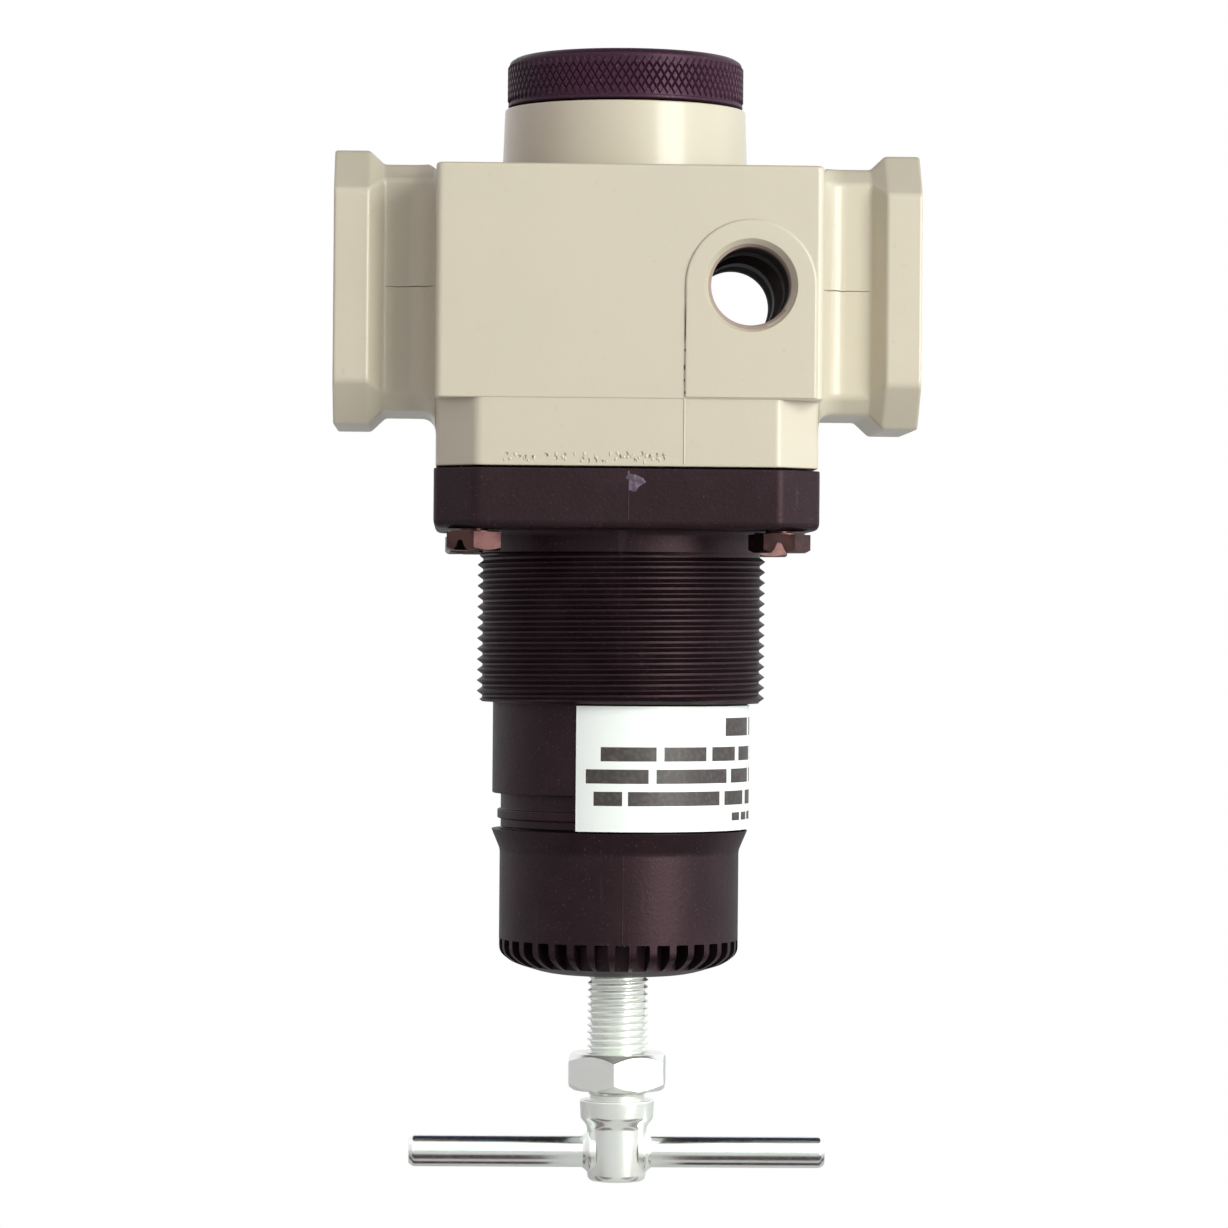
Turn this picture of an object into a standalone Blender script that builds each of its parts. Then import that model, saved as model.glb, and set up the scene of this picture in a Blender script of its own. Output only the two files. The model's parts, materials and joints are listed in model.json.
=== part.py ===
"""T-handle compressed air pressure regulator, with 3/4 in class ports and a panel-mount spring bonnet.

The origin is where the port axis (X) crosses the main axis (Z). The valve plug is at +Z, the T handle at -Z,
the inlet at -X and the outlet at +X. Every dimension below is in millimetres; meshes are built in metres.
"""

import math

import bmesh
import bpy
from mathutils import Matrix, Vector

MM = 0.001
GAP = 0.3  # clearance left between neighbouring pieces
THROUGH = 5.0  # how far a cutter runs past the wall that it opens

# body casting
BLOCK_HALF = 28.4
BLOCK_TOP = 17.6
BLOCK_STEP = -16.7  # below this level the corners are cut off and the sides step in
LOWER_HALF = 28.2
BODY_BOTTOM = -26.6
CORNER_CUT = 6.0
NECK_BASE_R = 18.57
NECK_TOP_R = 18.2
NECK_TOP = 28.0
ARM_HALF_Z = 18.3
ARM_HALF_Y = 17.3
ARM_CUT = 2.5
ARM_END = 36.1  # where the flange's bevel meets the arm
FLANGE_BEVEL = 38.3
FLANGE_FACE = 43.5
FLANGE_HALF = 20.4
FLANGE_CUT = 6.3
FLANGE_EDGE = 0.4
PAD_RAISE = 0.35
PAD_R = 9.6

# air passages
PORT_R = 11.7
PORT_MOUTH_R = 12.9
PORT_MOUTH_DEPTH = 1.2
PORT_BORE_END = 27.0
GAUGE_X = 17.7
GAUGE_R = 5.8
GAUGE_MOUTH_R = 7.35
GAUGE_MOUTH_DEPTH = 1.6
GAUGE_BORE_END = 5.0
INLET_PASSAGE_R = 4.8
INLET_PASSAGE_Z = 10.2
UPPER_CHAMBER_R = 10.5
WEB_TOP = 5.0
WEB_HOLE_R = 7.8
LOWER_CHAMBER_R = 8.5
WEB_BOTTOM = 2.0
LOWER_FLOOR = -12.0
OUTLET_PASSAGE_R = 10.0
OUTLET_PASSAGE_START = 12.5
OUTLET_LINK_R = 6.0
OUTLET_LINK_Z = -5.0
STEM_GUIDE_R = 1.9
SENSE_HOLE_R = 1.8
SENSE_X = 5.5
DIAPHRAGM_CHAMBER_R = 21.0
DIAPHRAGM_CHAMBER_TOP = -16.0
PLUG_BORE_R = 14.5
PLUG_BORE_FLOOR = 15.5

# valve plug
PLUG_R = 17.85
PLUG_HEAD_TOP = 35.9
PLUG_EDGE = 1.1
PLUG_SPIGOT_R = 14.2
PLUG_SPIGOT_END = 16.0
SPRING_POCKET_R = 7.2
SPRING_POCKET_END = 21.0
GUIDE_R = 4.3
GUIDE_END = 28.0

# valve
SEAT_HOLE_R = 5.5
SEAT_LIP_TOP = 7.0
POPPET_R = 8.5
POPPET_STEM_R = 1.6
POPPET_GUIDE_R = 4.0
POPPET_TOP = 24.0
STEM_TIP = -24.3
VALVE_SPRING_R = 6.0
VALVE_SPRING_WIRE = 0.9
VALVE_SPRING_TURNS = 6

# diaphragm set
DIAPHRAGM_R = 25.5
DIAPHRAGM_TOP = -26.9
DIAPHRAGM_THICK = 1.2
HUB_FLANGE_R = 9.0
HUB_TOP = -24.6
HUB_STEM_R = 4.0
HUB_HOLE_R = 4.3
HUB_END = -36.0
VENT_R = 1.4
PLATE_R = 17.0
PLATE_THICK = 1.6
CENTRING_R = 11.4
CENTRING_DROP = 2.5
HUB_NUT_FLATS = 12.7

# bonnet
BONNET_TOP = -26.9
BONNET_HALF = 28.45
FLANGE_BOTTOM = -35.8
FLANGE_ROUND = 0.8
COLLAR_R = 21.0
THREAD_TOP = -39.0
THREAD_R = 21.75
THREAD_BOTTOM = -61.5
BARREL_R = 19.3
BARREL_BOTTOM = -75.3
GROOVE_R = 18.0
BEAD_R = 18.5
BEAD_TOP = -77.7
BEAD_BOTTOM = -79.1
GROOVE_BOTTOM = -80.4
TAIL_R = 16.1
BONNET_END = -96.0
RECESS_R = 25.8
SPRING_BORE_R = 16.0
LEDGE = -79.3
TAIL_BORE_R = 13.5
TAIL_FLOOR = -88.0
INSERT_FLOOR = -94.5
INSERT_FLATS = 15.9
SCREW_HOLE_R = 5.3

# bonnet screws
SCREW_PLACE = 22.5
BOLT_HOLE_R = 2.6
BOLT_R = 2.3
BOLT_HEAD_FLATS = 7.94
BOLT_HEAD_HEIGHT = 2.9
BOLT_END = -14.5
BOLT_HOLE_END = -13.8
BOLT_SLOT_WIDTH = 1.4
BOLT_SLOT_DEPTH = 1.5
BOLT_TURNS_DEG = {"1": -30.0, "2": -3.7, "3": 82.0, "4": 40.0}

# spring and its rest
SPRING_R = 13.5
SPRING_WIRE = 3.2
SPRING_TURNS = 7
SPRING_TOP = -30.3 - 0.3
SPRING_BOTTOM = -73.0
BUTTON_R = 15.2
BUTTON_TOP = -73.3
BUTTON_FLANGE = 2.7
BUTTON_BOSS_R = 11.3
BUTTON_BOSS_RISE = 2.8
BUTTON_NOSE_R = 7.0
BUTTON_BOTTOM = -79.0
DIMPLE_R = 5.2
DIMPLE_TOP = -75.2

# end cap
CAP_R = 18.1
CAP_RIM_R = 19.4
CAP_RIM = -80.7
CAP_RIM_END = -83.8
CAP_BORE_R = 16.4
CAP_MOUTH_R = 18.2
CAP_SLOTS = 36
CAP_SLOT_WIDTH = 2.05
CAP_SLOT_TOP = -97.3
CAP_SLOT_FLOOR_R = 14.7
CAP_BOTTOM = -102.8

# label
LABEL_R = 19.45
LABEL_THICK = 0.12
LABEL_TOP = -61.8
LABEL_BOTTOM = -80.4
LABEL_START_DEG = -111.2
LABEL_SWEEP_DEG = 170.0

# handle
SCREW_R = 4.6
SCREW_TIP = -76.1
SCREW_END = -121.7
HUB_COLLAR_R = 5.6
HUB_COLLAR_END = -124.4
SHANK_R = 4.5
SHANK_END = -134.0
T_BAR_R = 2.38
T_BAR_LENGTH = 63.0
T_BAR_Z = -129.6
T_BAR_CHAMFER = 0.4
JAM_NUT_FLATS = 14.29
JAM_NUT_HEIGHT = 5.56
JAM_NUT_TOP = -114.6
JAM_NUT_HOLE_R = 5.0
JAM_NUT_TURN_DEG = 25.0

LARGE_SEGMENTS = 40
MEDIUM_SEGMENTS = 32
BORE_SEGMENTS = 24
SMALL_SEGMENTS = 16

# name: (colour, roughness, metallic)
FINISHES = {
    "cast_paint": ((0.69, 0.62, 0.49), 0.45, 0.0),
    "black_nylon": ((0.035, 0.022, 0.026), 0.42, 0.0),
    "anodised": ((0.05, 0.025, 0.035), 0.4, 0.6),
    "zinc_plate": ((0.74, 0.76, 0.75), 0.24, 1.0),
    "bronze_plate": ((0.2, 0.13, 0.13), 0.35, 1.0),
    "spring_steel": ((0.45, 0.45, 0.46), 0.35, 1.0),
    "brass": ((0.72, 0.5, 0.2), 0.3, 1.0),
    "rubber": ((0.02, 0.02, 0.02), 0.7, 0.0),
    "vinyl": ((0.82, 0.86, 0.85), 0.4, 0.0),
}


def clear_scene():
    for obj in list(bpy.data.objects):
        bpy.data.objects.remove(obj)


def finish_material(name):
    material = bpy.data.materials.get(name)
    if material is None:
        colour, roughness, metallic = FINISHES[name]
        material = bpy.data.materials.new(name)
        material.use_nodes = True
        shader = material.node_tree.nodes["Principled BSDF"]
        shader.inputs["Base Color"].default_value = (*colour, 1.0)
        shader.inputs["Roughness"].default_value = roughness
        shader.inputs["Metallic"].default_value = metallic
    return material


def add_object(name, mesh, finish=None, place=(0.0, 0.0, 0.0)):
    """Links a mesh as a named object, with its place in millimetres."""
    obj = bpy.data.objects.new(name, mesh)
    obj.location = Vector(place) * MM
    bpy.context.scene.collection.objects.link(obj)
    if finish:
        mesh.materials.clear()
        mesh.materials.append(finish_material(finish))
    return obj


def close_mesh(name, bm):
    """Turns a bmesh, drawn in millimetres, into a mesh in metres with its faces pointing out."""
    bmesh.ops.remove_doubles(bm, verts=bm.verts, dist=1e-4)
    bmesh.ops.scale(bm, vec=(MM, MM, MM), verts=bm.verts)
    bmesh.ops.recalc_face_normals(bm, faces=bm.faces)
    mesh = bpy.data.meshes.new(name)
    bm.to_mesh(mesh)
    bm.free()
    mesh.shade_smooth()
    mesh.set_sharp_from_angle(angle=math.radians(30))
    return mesh


def turned(name, outline, segments=MEDIUM_SEGMENTS):
    """Spins an outline of (radius, z) points about Z. It may start and end on the axis; else it is a ring."""
    bm = bmesh.new()
    verts = [bm.verts.new((r, 0.0, z)) for r, z in outline]
    on_axis = outline[0][0] == 0.0 and outline[-1][0] == 0.0
    pairs = list(zip(verts, verts[1:]))
    if not on_axis:
        pairs.append((verts[-1], verts[0]))
    edges = [bm.edges.new(pair) for pair in pairs]
    bmesh.ops.spin(
        bm,
        geom=verts + edges,
        axis=(0.0, 0.0, 1.0),
        cent=(0.0, 0.0, 0.0),
        angle=2.0 * math.pi,
        steps=segments,
        use_merge=True,
    )
    return close_mesh(name, bm)


def placed(u, v, w, along):
    """A point of an outline (u, v) at the level w, for a shape that runs along X, Y or Z."""
    return {"X": (w, u, v), "Y": (u, w, v), "Z": (u, v, w)}[along]


def lofted(name, sections, along="Z"):
    """Joins outlines with equal point counts, given as (level, outline), and closes both ends."""
    bm = bmesh.new()
    rings = [[bm.verts.new(placed(u, v, level, along)) for u, v in outline] for level, outline in sections]
    for ring, following in zip(rings, rings[1:]):
        for i in range(len(ring)):
            j = (i + 1) % len(ring)
            bm.faces.new((ring[i], ring[j], following[j], following[i]))
    bm.faces.new(rings[0])
    bm.faces.new(rings[-1])
    return close_mesh(name, bm)


def prism(name, outline, low, high, along="Z"):
    return lofted(name, [(low, outline), (high, outline)], along)


def octagon(half_u, half_v, cut):
    corners = ((1, 1), (-1, 1), (-1, -1), (1, -1))
    points = []
    for su, sv in corners:
        beside = (su * half_u, sv * (half_v - cut))
        above = (su * (half_u - cut), sv * half_v)
        points += [beside, above] if su == sv else [above, beside]
    return points


def square(half):
    return [(half, half), (-half, half), (-half, -half), (half, -half)]


def circle(radius, segments, centre=(0.0, 0.0)):
    steps = [2.0 * math.pi * (i + 0.5) / segments for i in range(segments)]
    return [(centre[0] + radius * math.cos(a), centre[1] + radius * math.sin(a)) for a in steps]


def hexagon(flats, turn_deg=0.0):
    """A hexagon with the given size across its flats, and a corner at turn_deg."""
    radius = flats / math.sqrt(3.0)
    angles = [math.radians(turn_deg + 60.0 * i) for i in range(6)]
    return [(radius * math.cos(a), radius * math.sin(a)) for a in angles]


def boolean(target, operation, name, mesh, place=(0.0, 0.0, 0.0)):
    """Adds a hidden tool object and an exact Boolean that uses it."""
    tool = add_object(name, mesh, place=place)
    tool.hide_render = True
    tool.display_type = "WIRE"
    modifier = target.modifiers.new(name, "BOOLEAN")
    modifier.operation = operation
    modifier.object = tool
    return tool


def cut(target, name, mesh, place=(0.0, 0.0, 0.0)):
    return boolean(target, "DIFFERENCE", name, mesh, place)


def join(target, name, mesh):
    return boolean(target, "UNION", name, mesh)


def coil_curve(name, radius, wire, low, high, turns, points_per_turn, finish):
    """A compression spring whose first and last turn lie closed, as a tube along a computed helix."""
    lowest = low + wire / 2.0
    highest = high - wire / 2.0
    end_rise = wire * 1.05
    open_rise = (highest - lowest - 2.0 * end_rise) / (turns - 2.0)
    curve = bpy.data.curves.new(name, "CURVE")
    curve.dimensions = "3D"
    curve.bevel_depth = wire / 2.0 * MM
    curve.bevel_resolution = 1
    curve.use_fill_caps = True
    spline = curve.splines.new("POLY")
    count = turns * points_per_turn + 1
    spline.points.add(count - 1)
    for i in range(count):
        turn = i / points_per_turn
        first = min(turn, 1.0)
        last = max(turn - (turns - 1.0), 0.0)
        z = lowest + end_rise * (first + last) + open_rise * (turn - first - last)
        angle = 2.0 * math.pi * turn
        spline.points[i].co = (radius * MM * math.cos(angle), radius * MM * math.sin(angle), z * MM, 1.0)
    obj = bpy.data.objects.new(name, curve)
    bpy.context.scene.collection.objects.link(obj)
    curve.materials.append(finish_material(finish))
    return obj


def torus_outline(radius, section, height, steps=8):
    """A round section of the given radius, centred at (radius, height)."""
    angles = [2.0 * math.pi * i / steps for i in range(steps)]
    return [(radius + section * math.cos(a), height + section * math.sin(a)) for a in angles]


def port_arm(name, side):
    """One arm and its flange: an octagonal bar that starts inside the block and ends at the port face."""
    root = octagon(ARM_HALF_Y, BLOCK_TOP - 1.2, ARM_CUT)
    arm = octagon(ARM_HALF_Y, ARM_HALF_Z, ARM_CUT)
    flange = octagon(FLANGE_HALF, FLANGE_HALF, FLANGE_CUT)
    face = octagon(FLANGE_HALF - FLANGE_EDGE, FLANGE_HALF - FLANGE_EDGE, FLANGE_CUT)
    sections = [
        (BLOCK_HALF - 3.0, root),
        (BLOCK_HALF + 1.0, arm),
        (ARM_END, arm),
        (FLANGE_BEVEL, flange),
        (FLANGE_FACE - FLANGE_EDGE, flange),
        (FLANGE_FACE, face),
    ]
    return lofted(name, [(side * level, outline) for level, outline in sections], "X")


def gauge_pad():
    """The raised pad round both gauge ports: an arch on top, straight sides below."""
    arch_angles = [math.pi * i / 16 for i in range(17)]
    arch = [(GAUGE_X + PAD_R * math.cos(a), PAD_R * math.sin(a)) for a in arch_angles]
    foot = [(GAUGE_X - PAD_R, BLOCK_STEP + GAP), (GAUGE_X + PAD_R, BLOCK_STEP + GAP)]
    reach = BLOCK_HALF + PAD_RAISE
    return prism("gauge_pad", arch + foot, -reach, reach, "Y")


def flared_bore(name, radius, mouth_r, mouth_depth, face, end, along, centre=(0.0, 0.0)):
    """A bore from the level end out to a countersunk mouth at the level face, running along X or Y."""
    outward = math.copysign(1.0, face - end)
    open_r = mouth_r + (mouth_r - radius) / mouth_depth * THROUGH
    sections = [
        (end, circle(radius, BORE_SEGMENTS, centre)),
        (face - outward * mouth_depth, circle(radius, BORE_SEGMENTS, centre)),
        (face + outward * THROUGH, circle(open_r, BORE_SEGMENTS, centre)),
    ]
    return lofted(name, sections, along)


def make_body():
    body = add_object("body", prism("body", square(BLOCK_HALF), BLOCK_STEP, BLOCK_TOP), "cast_paint")
    lower = octagon(LOWER_HALF, LOWER_HALF, CORNER_CUT)
    join(body, "lower_block", prism("lower_block", lower, BODY_BOTTOM, BLOCK_STEP + 1.0))
    neck_outline = [(0.0, NECK_TOP), (NECK_TOP_R, NECK_TOP), (NECK_BASE_R, BLOCK_TOP - 1.0), (0.0, BLOCK_TOP - 1.0)]
    join(body, "neck", turned("neck", neck_outline, LARGE_SEGMENTS))
    join(body, "inlet_arm", port_arm("inlet_arm", -1))
    join(body, "outlet_arm", port_arm("outlet_arm", 1))
    join(body, "gauge_pad", gauge_pad())

    for side, name in ((-1, "inlet_bore"), (1, "outlet_bore")):
        face, end = side * FLANGE_FACE, side * PORT_BORE_END
        cut(body, name, flared_bore(name, PORT_R, PORT_MOUTH_R, PORT_MOUTH_DEPTH, face, end, "X"))
    for side, name in ((-1, "front_gauge_bore"), (1, "rear_gauge_bore")):
        face, end = side * (BLOCK_HALF + PAD_RAISE), side * GAUGE_BORE_END
        bore = flared_bore(name, GAUGE_R, GAUGE_MOUTH_R, GAUGE_MOUTH_DEPTH, face, end, "Y", (GAUGE_X, 0.0))
        cut(body, name, bore)

    inlet = circle(INLET_PASSAGE_R, SMALL_SEGMENTS, (0.0, INLET_PASSAGE_Z))
    cut(body, "inlet_passage", prism("inlet_passage", inlet, -PORT_BORE_END - 1.0, -UPPER_CHAMBER_R + 2.0, "X"))
    outlet = circle(OUTLET_PASSAGE_R, BORE_SEGMENTS)
    cut(body, "outlet_passage", prism("outlet_passage", outlet, OUTLET_PASSAGE_START, PORT_BORE_END + 1.0, "X"))
    link = circle(OUTLET_LINK_R, SMALL_SEGMENTS, (0.0, OUTLET_LINK_Z))
    cut(body, "outlet_link", prism("outlet_link", link, LOWER_CHAMBER_R - 3.0, OUTLET_PASSAGE_START + 1.0, "X"))

    chambers = [
        (0.0, NECK_TOP + THROUGH),
        (PLUG_BORE_R, NECK_TOP + THROUGH),
        (PLUG_BORE_R, PLUG_BORE_FLOOR),
        (UPPER_CHAMBER_R, PLUG_BORE_FLOOR),
        (UPPER_CHAMBER_R, WEB_TOP),
        (WEB_HOLE_R, WEB_TOP),
        (WEB_HOLE_R, WEB_BOTTOM),
        (LOWER_CHAMBER_R, WEB_BOTTOM),
        (LOWER_CHAMBER_R, LOWER_FLOOR),
        (STEM_GUIDE_R, LOWER_FLOOR),
        (STEM_GUIDE_R, DIAPHRAGM_CHAMBER_TOP),
        (DIAPHRAGM_CHAMBER_R, DIAPHRAGM_CHAMBER_TOP),
        (DIAPHRAGM_CHAMBER_R, BODY_BOTTOM - THROUGH),
        (0.0, BODY_BOTTOM - THROUGH),
    ]
    cut(body, "chambers", turned("chambers", chambers, BORE_SEGMENTS))
    sense = circle(SENSE_HOLE_R, 16, (SENSE_X, 0.0))
    cut(body, "sense_hole", prism("sense_hole", sense, DIAPHRAGM_CHAMBER_TOP - 1.0, LOWER_FLOOR + 1.0))
    cut(body, "body_bolt_holes", bolt_holes("body_bolt_holes", BODY_BOTTOM - THROUGH, BOLT_HOLE_END))
    return body


def corners():
    """The four screw places, numbered from the front left, anticlockwise seen from the plug end."""
    signs = ((-1, -1), (1, -1), (1, 1), (-1, 1))
    return [(sx * SCREW_PLACE, sy * SCREW_PLACE) for sx, sy in signs]


def bolt_holes(name, low, high):
    """One cutter with the four screw holes."""
    bm = bmesh.new()
    for x, y in corners():
        middle = Matrix.Translation((x, y, (low + high) / 2.0))
        bmesh.ops.create_cone(
            bm,
            cap_ends=True,
            segments=SMALL_SEGMENTS,
            radius1=BOLT_HOLE_R,
            radius2=BOLT_HOLE_R,
            depth=high - low,
            matrix=middle,
        )
    return close_mesh(name, bm)


def make_plug():
    groove_r = 12.0
    groove_low, groove_high = 24.8, 27.4
    stem_groove_r = 6.4
    stem_groove_low, stem_groove_high = 22.6, 24.8
    head_bottom = NECK_TOP + GAP
    outline = [
        (0.0, PLUG_HEAD_TOP),
        (PLUG_R - PLUG_EDGE, PLUG_HEAD_TOP),
        (PLUG_R, PLUG_HEAD_TOP - PLUG_EDGE),
        (PLUG_R, head_bottom + GAP),
        (PLUG_R - GAP, head_bottom),
        (PLUG_SPIGOT_R, head_bottom),
        (PLUG_SPIGOT_R, groove_high),
        (groove_r, groove_high),
        (groove_r, groove_low),
        (PLUG_SPIGOT_R, groove_low),
        (PLUG_SPIGOT_R, PLUG_SPIGOT_END),
        (SPRING_POCKET_R, PLUG_SPIGOT_END),
        (SPRING_POCKET_R, SPRING_POCKET_END),
        (GUIDE_R, SPRING_POCKET_END),
        (GUIDE_R, stem_groove_low),
        (stem_groove_r, stem_groove_low),
        (stem_groove_r, stem_groove_high),
        (GUIDE_R, stem_groove_high),
        (GUIDE_R, GUIDE_END),
        (0.0, GUIDE_END),
    ]
    add_object("valve_plug", turned("valve_plug", outline, LARGE_SEGMENTS), "anodised")
    plug_ring = torus_outline(13.25, 0.85, (groove_low + groove_high) / 2.0)
    add_object("plug_o_ring", turned("plug_o_ring", plug_ring, 32), "rubber")
    stem_ring = torus_outline(5.2, 0.8, (stem_groove_low + stem_groove_high) / 2.0)
    add_object("valve_stem_o_ring", turned("valve_stem_o_ring", stem_ring, SMALL_SEGMENTS), "rubber")


def make_valve():
    web_rest = WEB_TOP + GAP
    seat = [
        (SEAT_HOLE_R, WEB_BOTTOM + GAP),
        (WEB_HOLE_R - GAP, WEB_BOTTOM + GAP),
        (WEB_HOLE_R - GAP, web_rest),
        (9.0, web_rest),
        (9.0, web_rest + 1.0),
        (7.2, web_rest + 1.0),
        (6.4, SEAT_LIP_TOP),
        (5.8, SEAT_LIP_TOP),
        (SEAT_HOLE_R, SEAT_LIP_TOP - 0.4),
    ]
    add_object("valve_seat", turned("valve_seat", seat, 32), "brass")

    disc_bottom = SEAT_LIP_TOP + GAP
    disc_top = disc_bottom + 2.0
    disc = [(3.3, disc_bottom), (8.0, disc_bottom), (8.0, disc_top), (3.3, disc_top)]
    add_object("valve_disc", turned("valve_disc", disc, 32), "rubber")

    flange_bottom = disc_top + GAP
    flange_top = flange_bottom + 2.0
    poppet = [
        (0.0, POPPET_TOP),
        (POPPET_GUIDE_R, POPPET_TOP),
        (POPPET_GUIDE_R, flange_top),
        (POPPET_R, flange_top),
        (POPPET_R, flange_bottom),
        (3.0, flange_bottom),
        (3.0, disc_bottom - GAP),
        (3.6, disc_bottom - GAP),
        (3.6, disc_bottom - 1.0),
        (POPPET_STEM_R, disc_bottom - 2.0),
        (POPPET_STEM_R, STEM_TIP + 0.3),
        (POPPET_STEM_R - 0.3, STEM_TIP),
        (0.0, STEM_TIP),
    ]
    add_object("valve_poppet", turned("valve_poppet", poppet, SMALL_SEGMENTS), "brass")
    coil_curve(
        "valve_spring",
        VALVE_SPRING_R,
        VALVE_SPRING_WIRE,
        flange_top + GAP,
        SPRING_POCKET_END - GAP,
        VALVE_SPRING_TURNS,
        10,
        "spring_steel",
    )

    tube = [(1.0, LOWER_FLOOR - 3.4), (1.5, LOWER_FLOOR - 3.4), (1.5, -3.0), (1.0, -3.0)]
    add_object("aspirator_tube", turned("aspirator_tube", tube, 16), "brass", (SENSE_X, 0.0, 0.0))


def make_diaphragm_set():
    diaphragm_bottom = DIAPHRAGM_TOP - DIAPHRAGM_THICK
    plate_top = diaphragm_bottom - GAP
    plate_bottom = plate_top - PLATE_THICK
    nut_top = plate_bottom - GAP
    rubber = [
        (HUB_HOLE_R, diaphragm_bottom),
        (DIAPHRAGM_R, diaphragm_bottom),
        (DIAPHRAGM_R, DIAPHRAGM_TOP),
        (HUB_HOLE_R, DIAPHRAGM_TOP),
    ]
    add_object("diaphragm", turned("diaphragm", rubber, MEDIUM_SEGMENTS), "rubber")
    hub = [
        (VENT_R, HUB_TOP),
        (HUB_FLANGE_R, HUB_TOP),
        (HUB_FLANGE_R, DIAPHRAGM_TOP + GAP),
        (HUB_STEM_R, DIAPHRAGM_TOP + GAP),
        (HUB_STEM_R, HUB_END),
        (VENT_R, HUB_END),
    ]
    add_object("relief_hub", turned("relief_hub", hub, SMALL_SEGMENTS), "brass")
    plate = [
        (HUB_HOLE_R, plate_top),
        (PLATE_R, plate_top),
        (PLATE_R, plate_bottom),
        (CENTRING_R, plate_bottom),
        (CENTRING_R - 0.4, plate_bottom - CENTRING_DROP),
        (CENTRING_R - 1.6, plate_bottom - CENTRING_DROP),
        (CENTRING_R - 1.6, plate_bottom),
        (HUB_HOLE_R, plate_bottom),
    ]
    add_object("diaphragm_plate", turned("diaphragm_plate", plate, 32), "zinc_plate")
    nut = add_object("hub_nut", prism("hub_nut", hexagon(HUB_NUT_FLATS), nut_top - 4.0, nut_top), "zinc_plate")
    hole = circle(HUB_HOLE_R, SMALL_SEGMENTS)
    cut(nut, "hub_nut_hole", prism("hub_nut_hole", hole, nut_top - 4.0 - THROUGH, nut_top + THROUGH))


def make_bonnet():
    outer = octagon(BONNET_HALF, BONNET_HALF, CORNER_CUT)
    lower = octagon(BONNET_HALF - FLANGE_ROUND, BONNET_HALF - FLANGE_ROUND, CORNER_CUT - FLANGE_ROUND * 0.4)
    flange = lofted("bonnet", [(BONNET_TOP, outer), (FLANGE_BOTTOM + FLANGE_ROUND, outer), (FLANGE_BOTTOM, lower)])
    bonnet = add_object("bonnet", flange, "black_nylon")
    barrel = [
        (0.0, FLANGE_BOTTOM + 1.0),
        (COLLAR_R, FLANGE_BOTTOM + 1.0),
        (COLLAR_R, THREAD_TOP),
        (THREAD_R, THREAD_TOP - 1.0),
        (THREAD_R, THREAD_BOTTOM),
        (BARREL_R, THREAD_BOTTOM),
        (BARREL_R, BARREL_BOTTOM),
        (GROOVE_R, BARREL_BOTTOM),
        (GROOVE_R, BEAD_TOP),
        (BEAD_R, BEAD_TOP),
        (BEAD_R, BEAD_BOTTOM),
        (GROOVE_R, BEAD_BOTTOM),
        (GROOVE_R, GROOVE_BOTTOM),
        (TAIL_R, GROOVE_BOTTOM),
        (TAIL_R, BONNET_END),
        (0.0, BONNET_END),
    ]
    join(bonnet, "bonnet_barrel", turned("bonnet_barrel", barrel, LARGE_SEGMENTS))
    recess_floor = DIAPHRAGM_TOP - DIAPHRAGM_THICK - GAP
    bore = [
        (0.0, BONNET_TOP + THROUGH),
        (RECESS_R, BONNET_TOP + THROUGH),
        (RECESS_R, recess_floor),
        (PLATE_R + 1.5, recess_floor),
        (PLATE_R + 1.5, recess_floor - 4.0),
        (SPRING_BORE_R, recess_floor - 8.0),
        (SPRING_BORE_R, LEDGE),
        (TAIL_BORE_R, LEDGE),
        (TAIL_BORE_R, TAIL_FLOOR),
        (0.0, TAIL_FLOOR),
    ]
    cut(bonnet, "bonnet_bore", turned("bonnet_bore", bore, MEDIUM_SEGMENTS))
    pocket = hexagon(INSERT_FLATS + 2.0 * GAP)
    cut(bonnet, "insert_pocket", prism("insert_pocket", pocket, INSERT_FLOOR, TAIL_FLOOR + 1.0))
    hole = circle(SCREW_HOLE_R, SMALL_SEGMENTS)
    cut(bonnet, "bonnet_screw_hole", prism("bonnet_screw_hole", hole, BONNET_END - THROUGH, INSERT_FLOOR + 1.0))
    low = FLANGE_BOTTOM - THROUGH
    cut(bonnet, "bonnet_bolt_holes", bolt_holes("bonnet_bolt_holes", low, BONNET_TOP + THROUGH))

    insert_low = INSERT_FLOOR + GAP
    insert_high = TAIL_FLOOR - GAP
    insert_mesh = prism("screw_insert", hexagon(INSERT_FLATS), insert_low, insert_high)
    insert = add_object("screw_insert", insert_mesh, "zinc_plate")
    thread = circle(JAM_NUT_HOLE_R, SMALL_SEGMENTS)
    cut(insert, "insert_thread", prism("insert_thread", thread, insert_low - THROUGH, insert_high + THROUGH))


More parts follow.
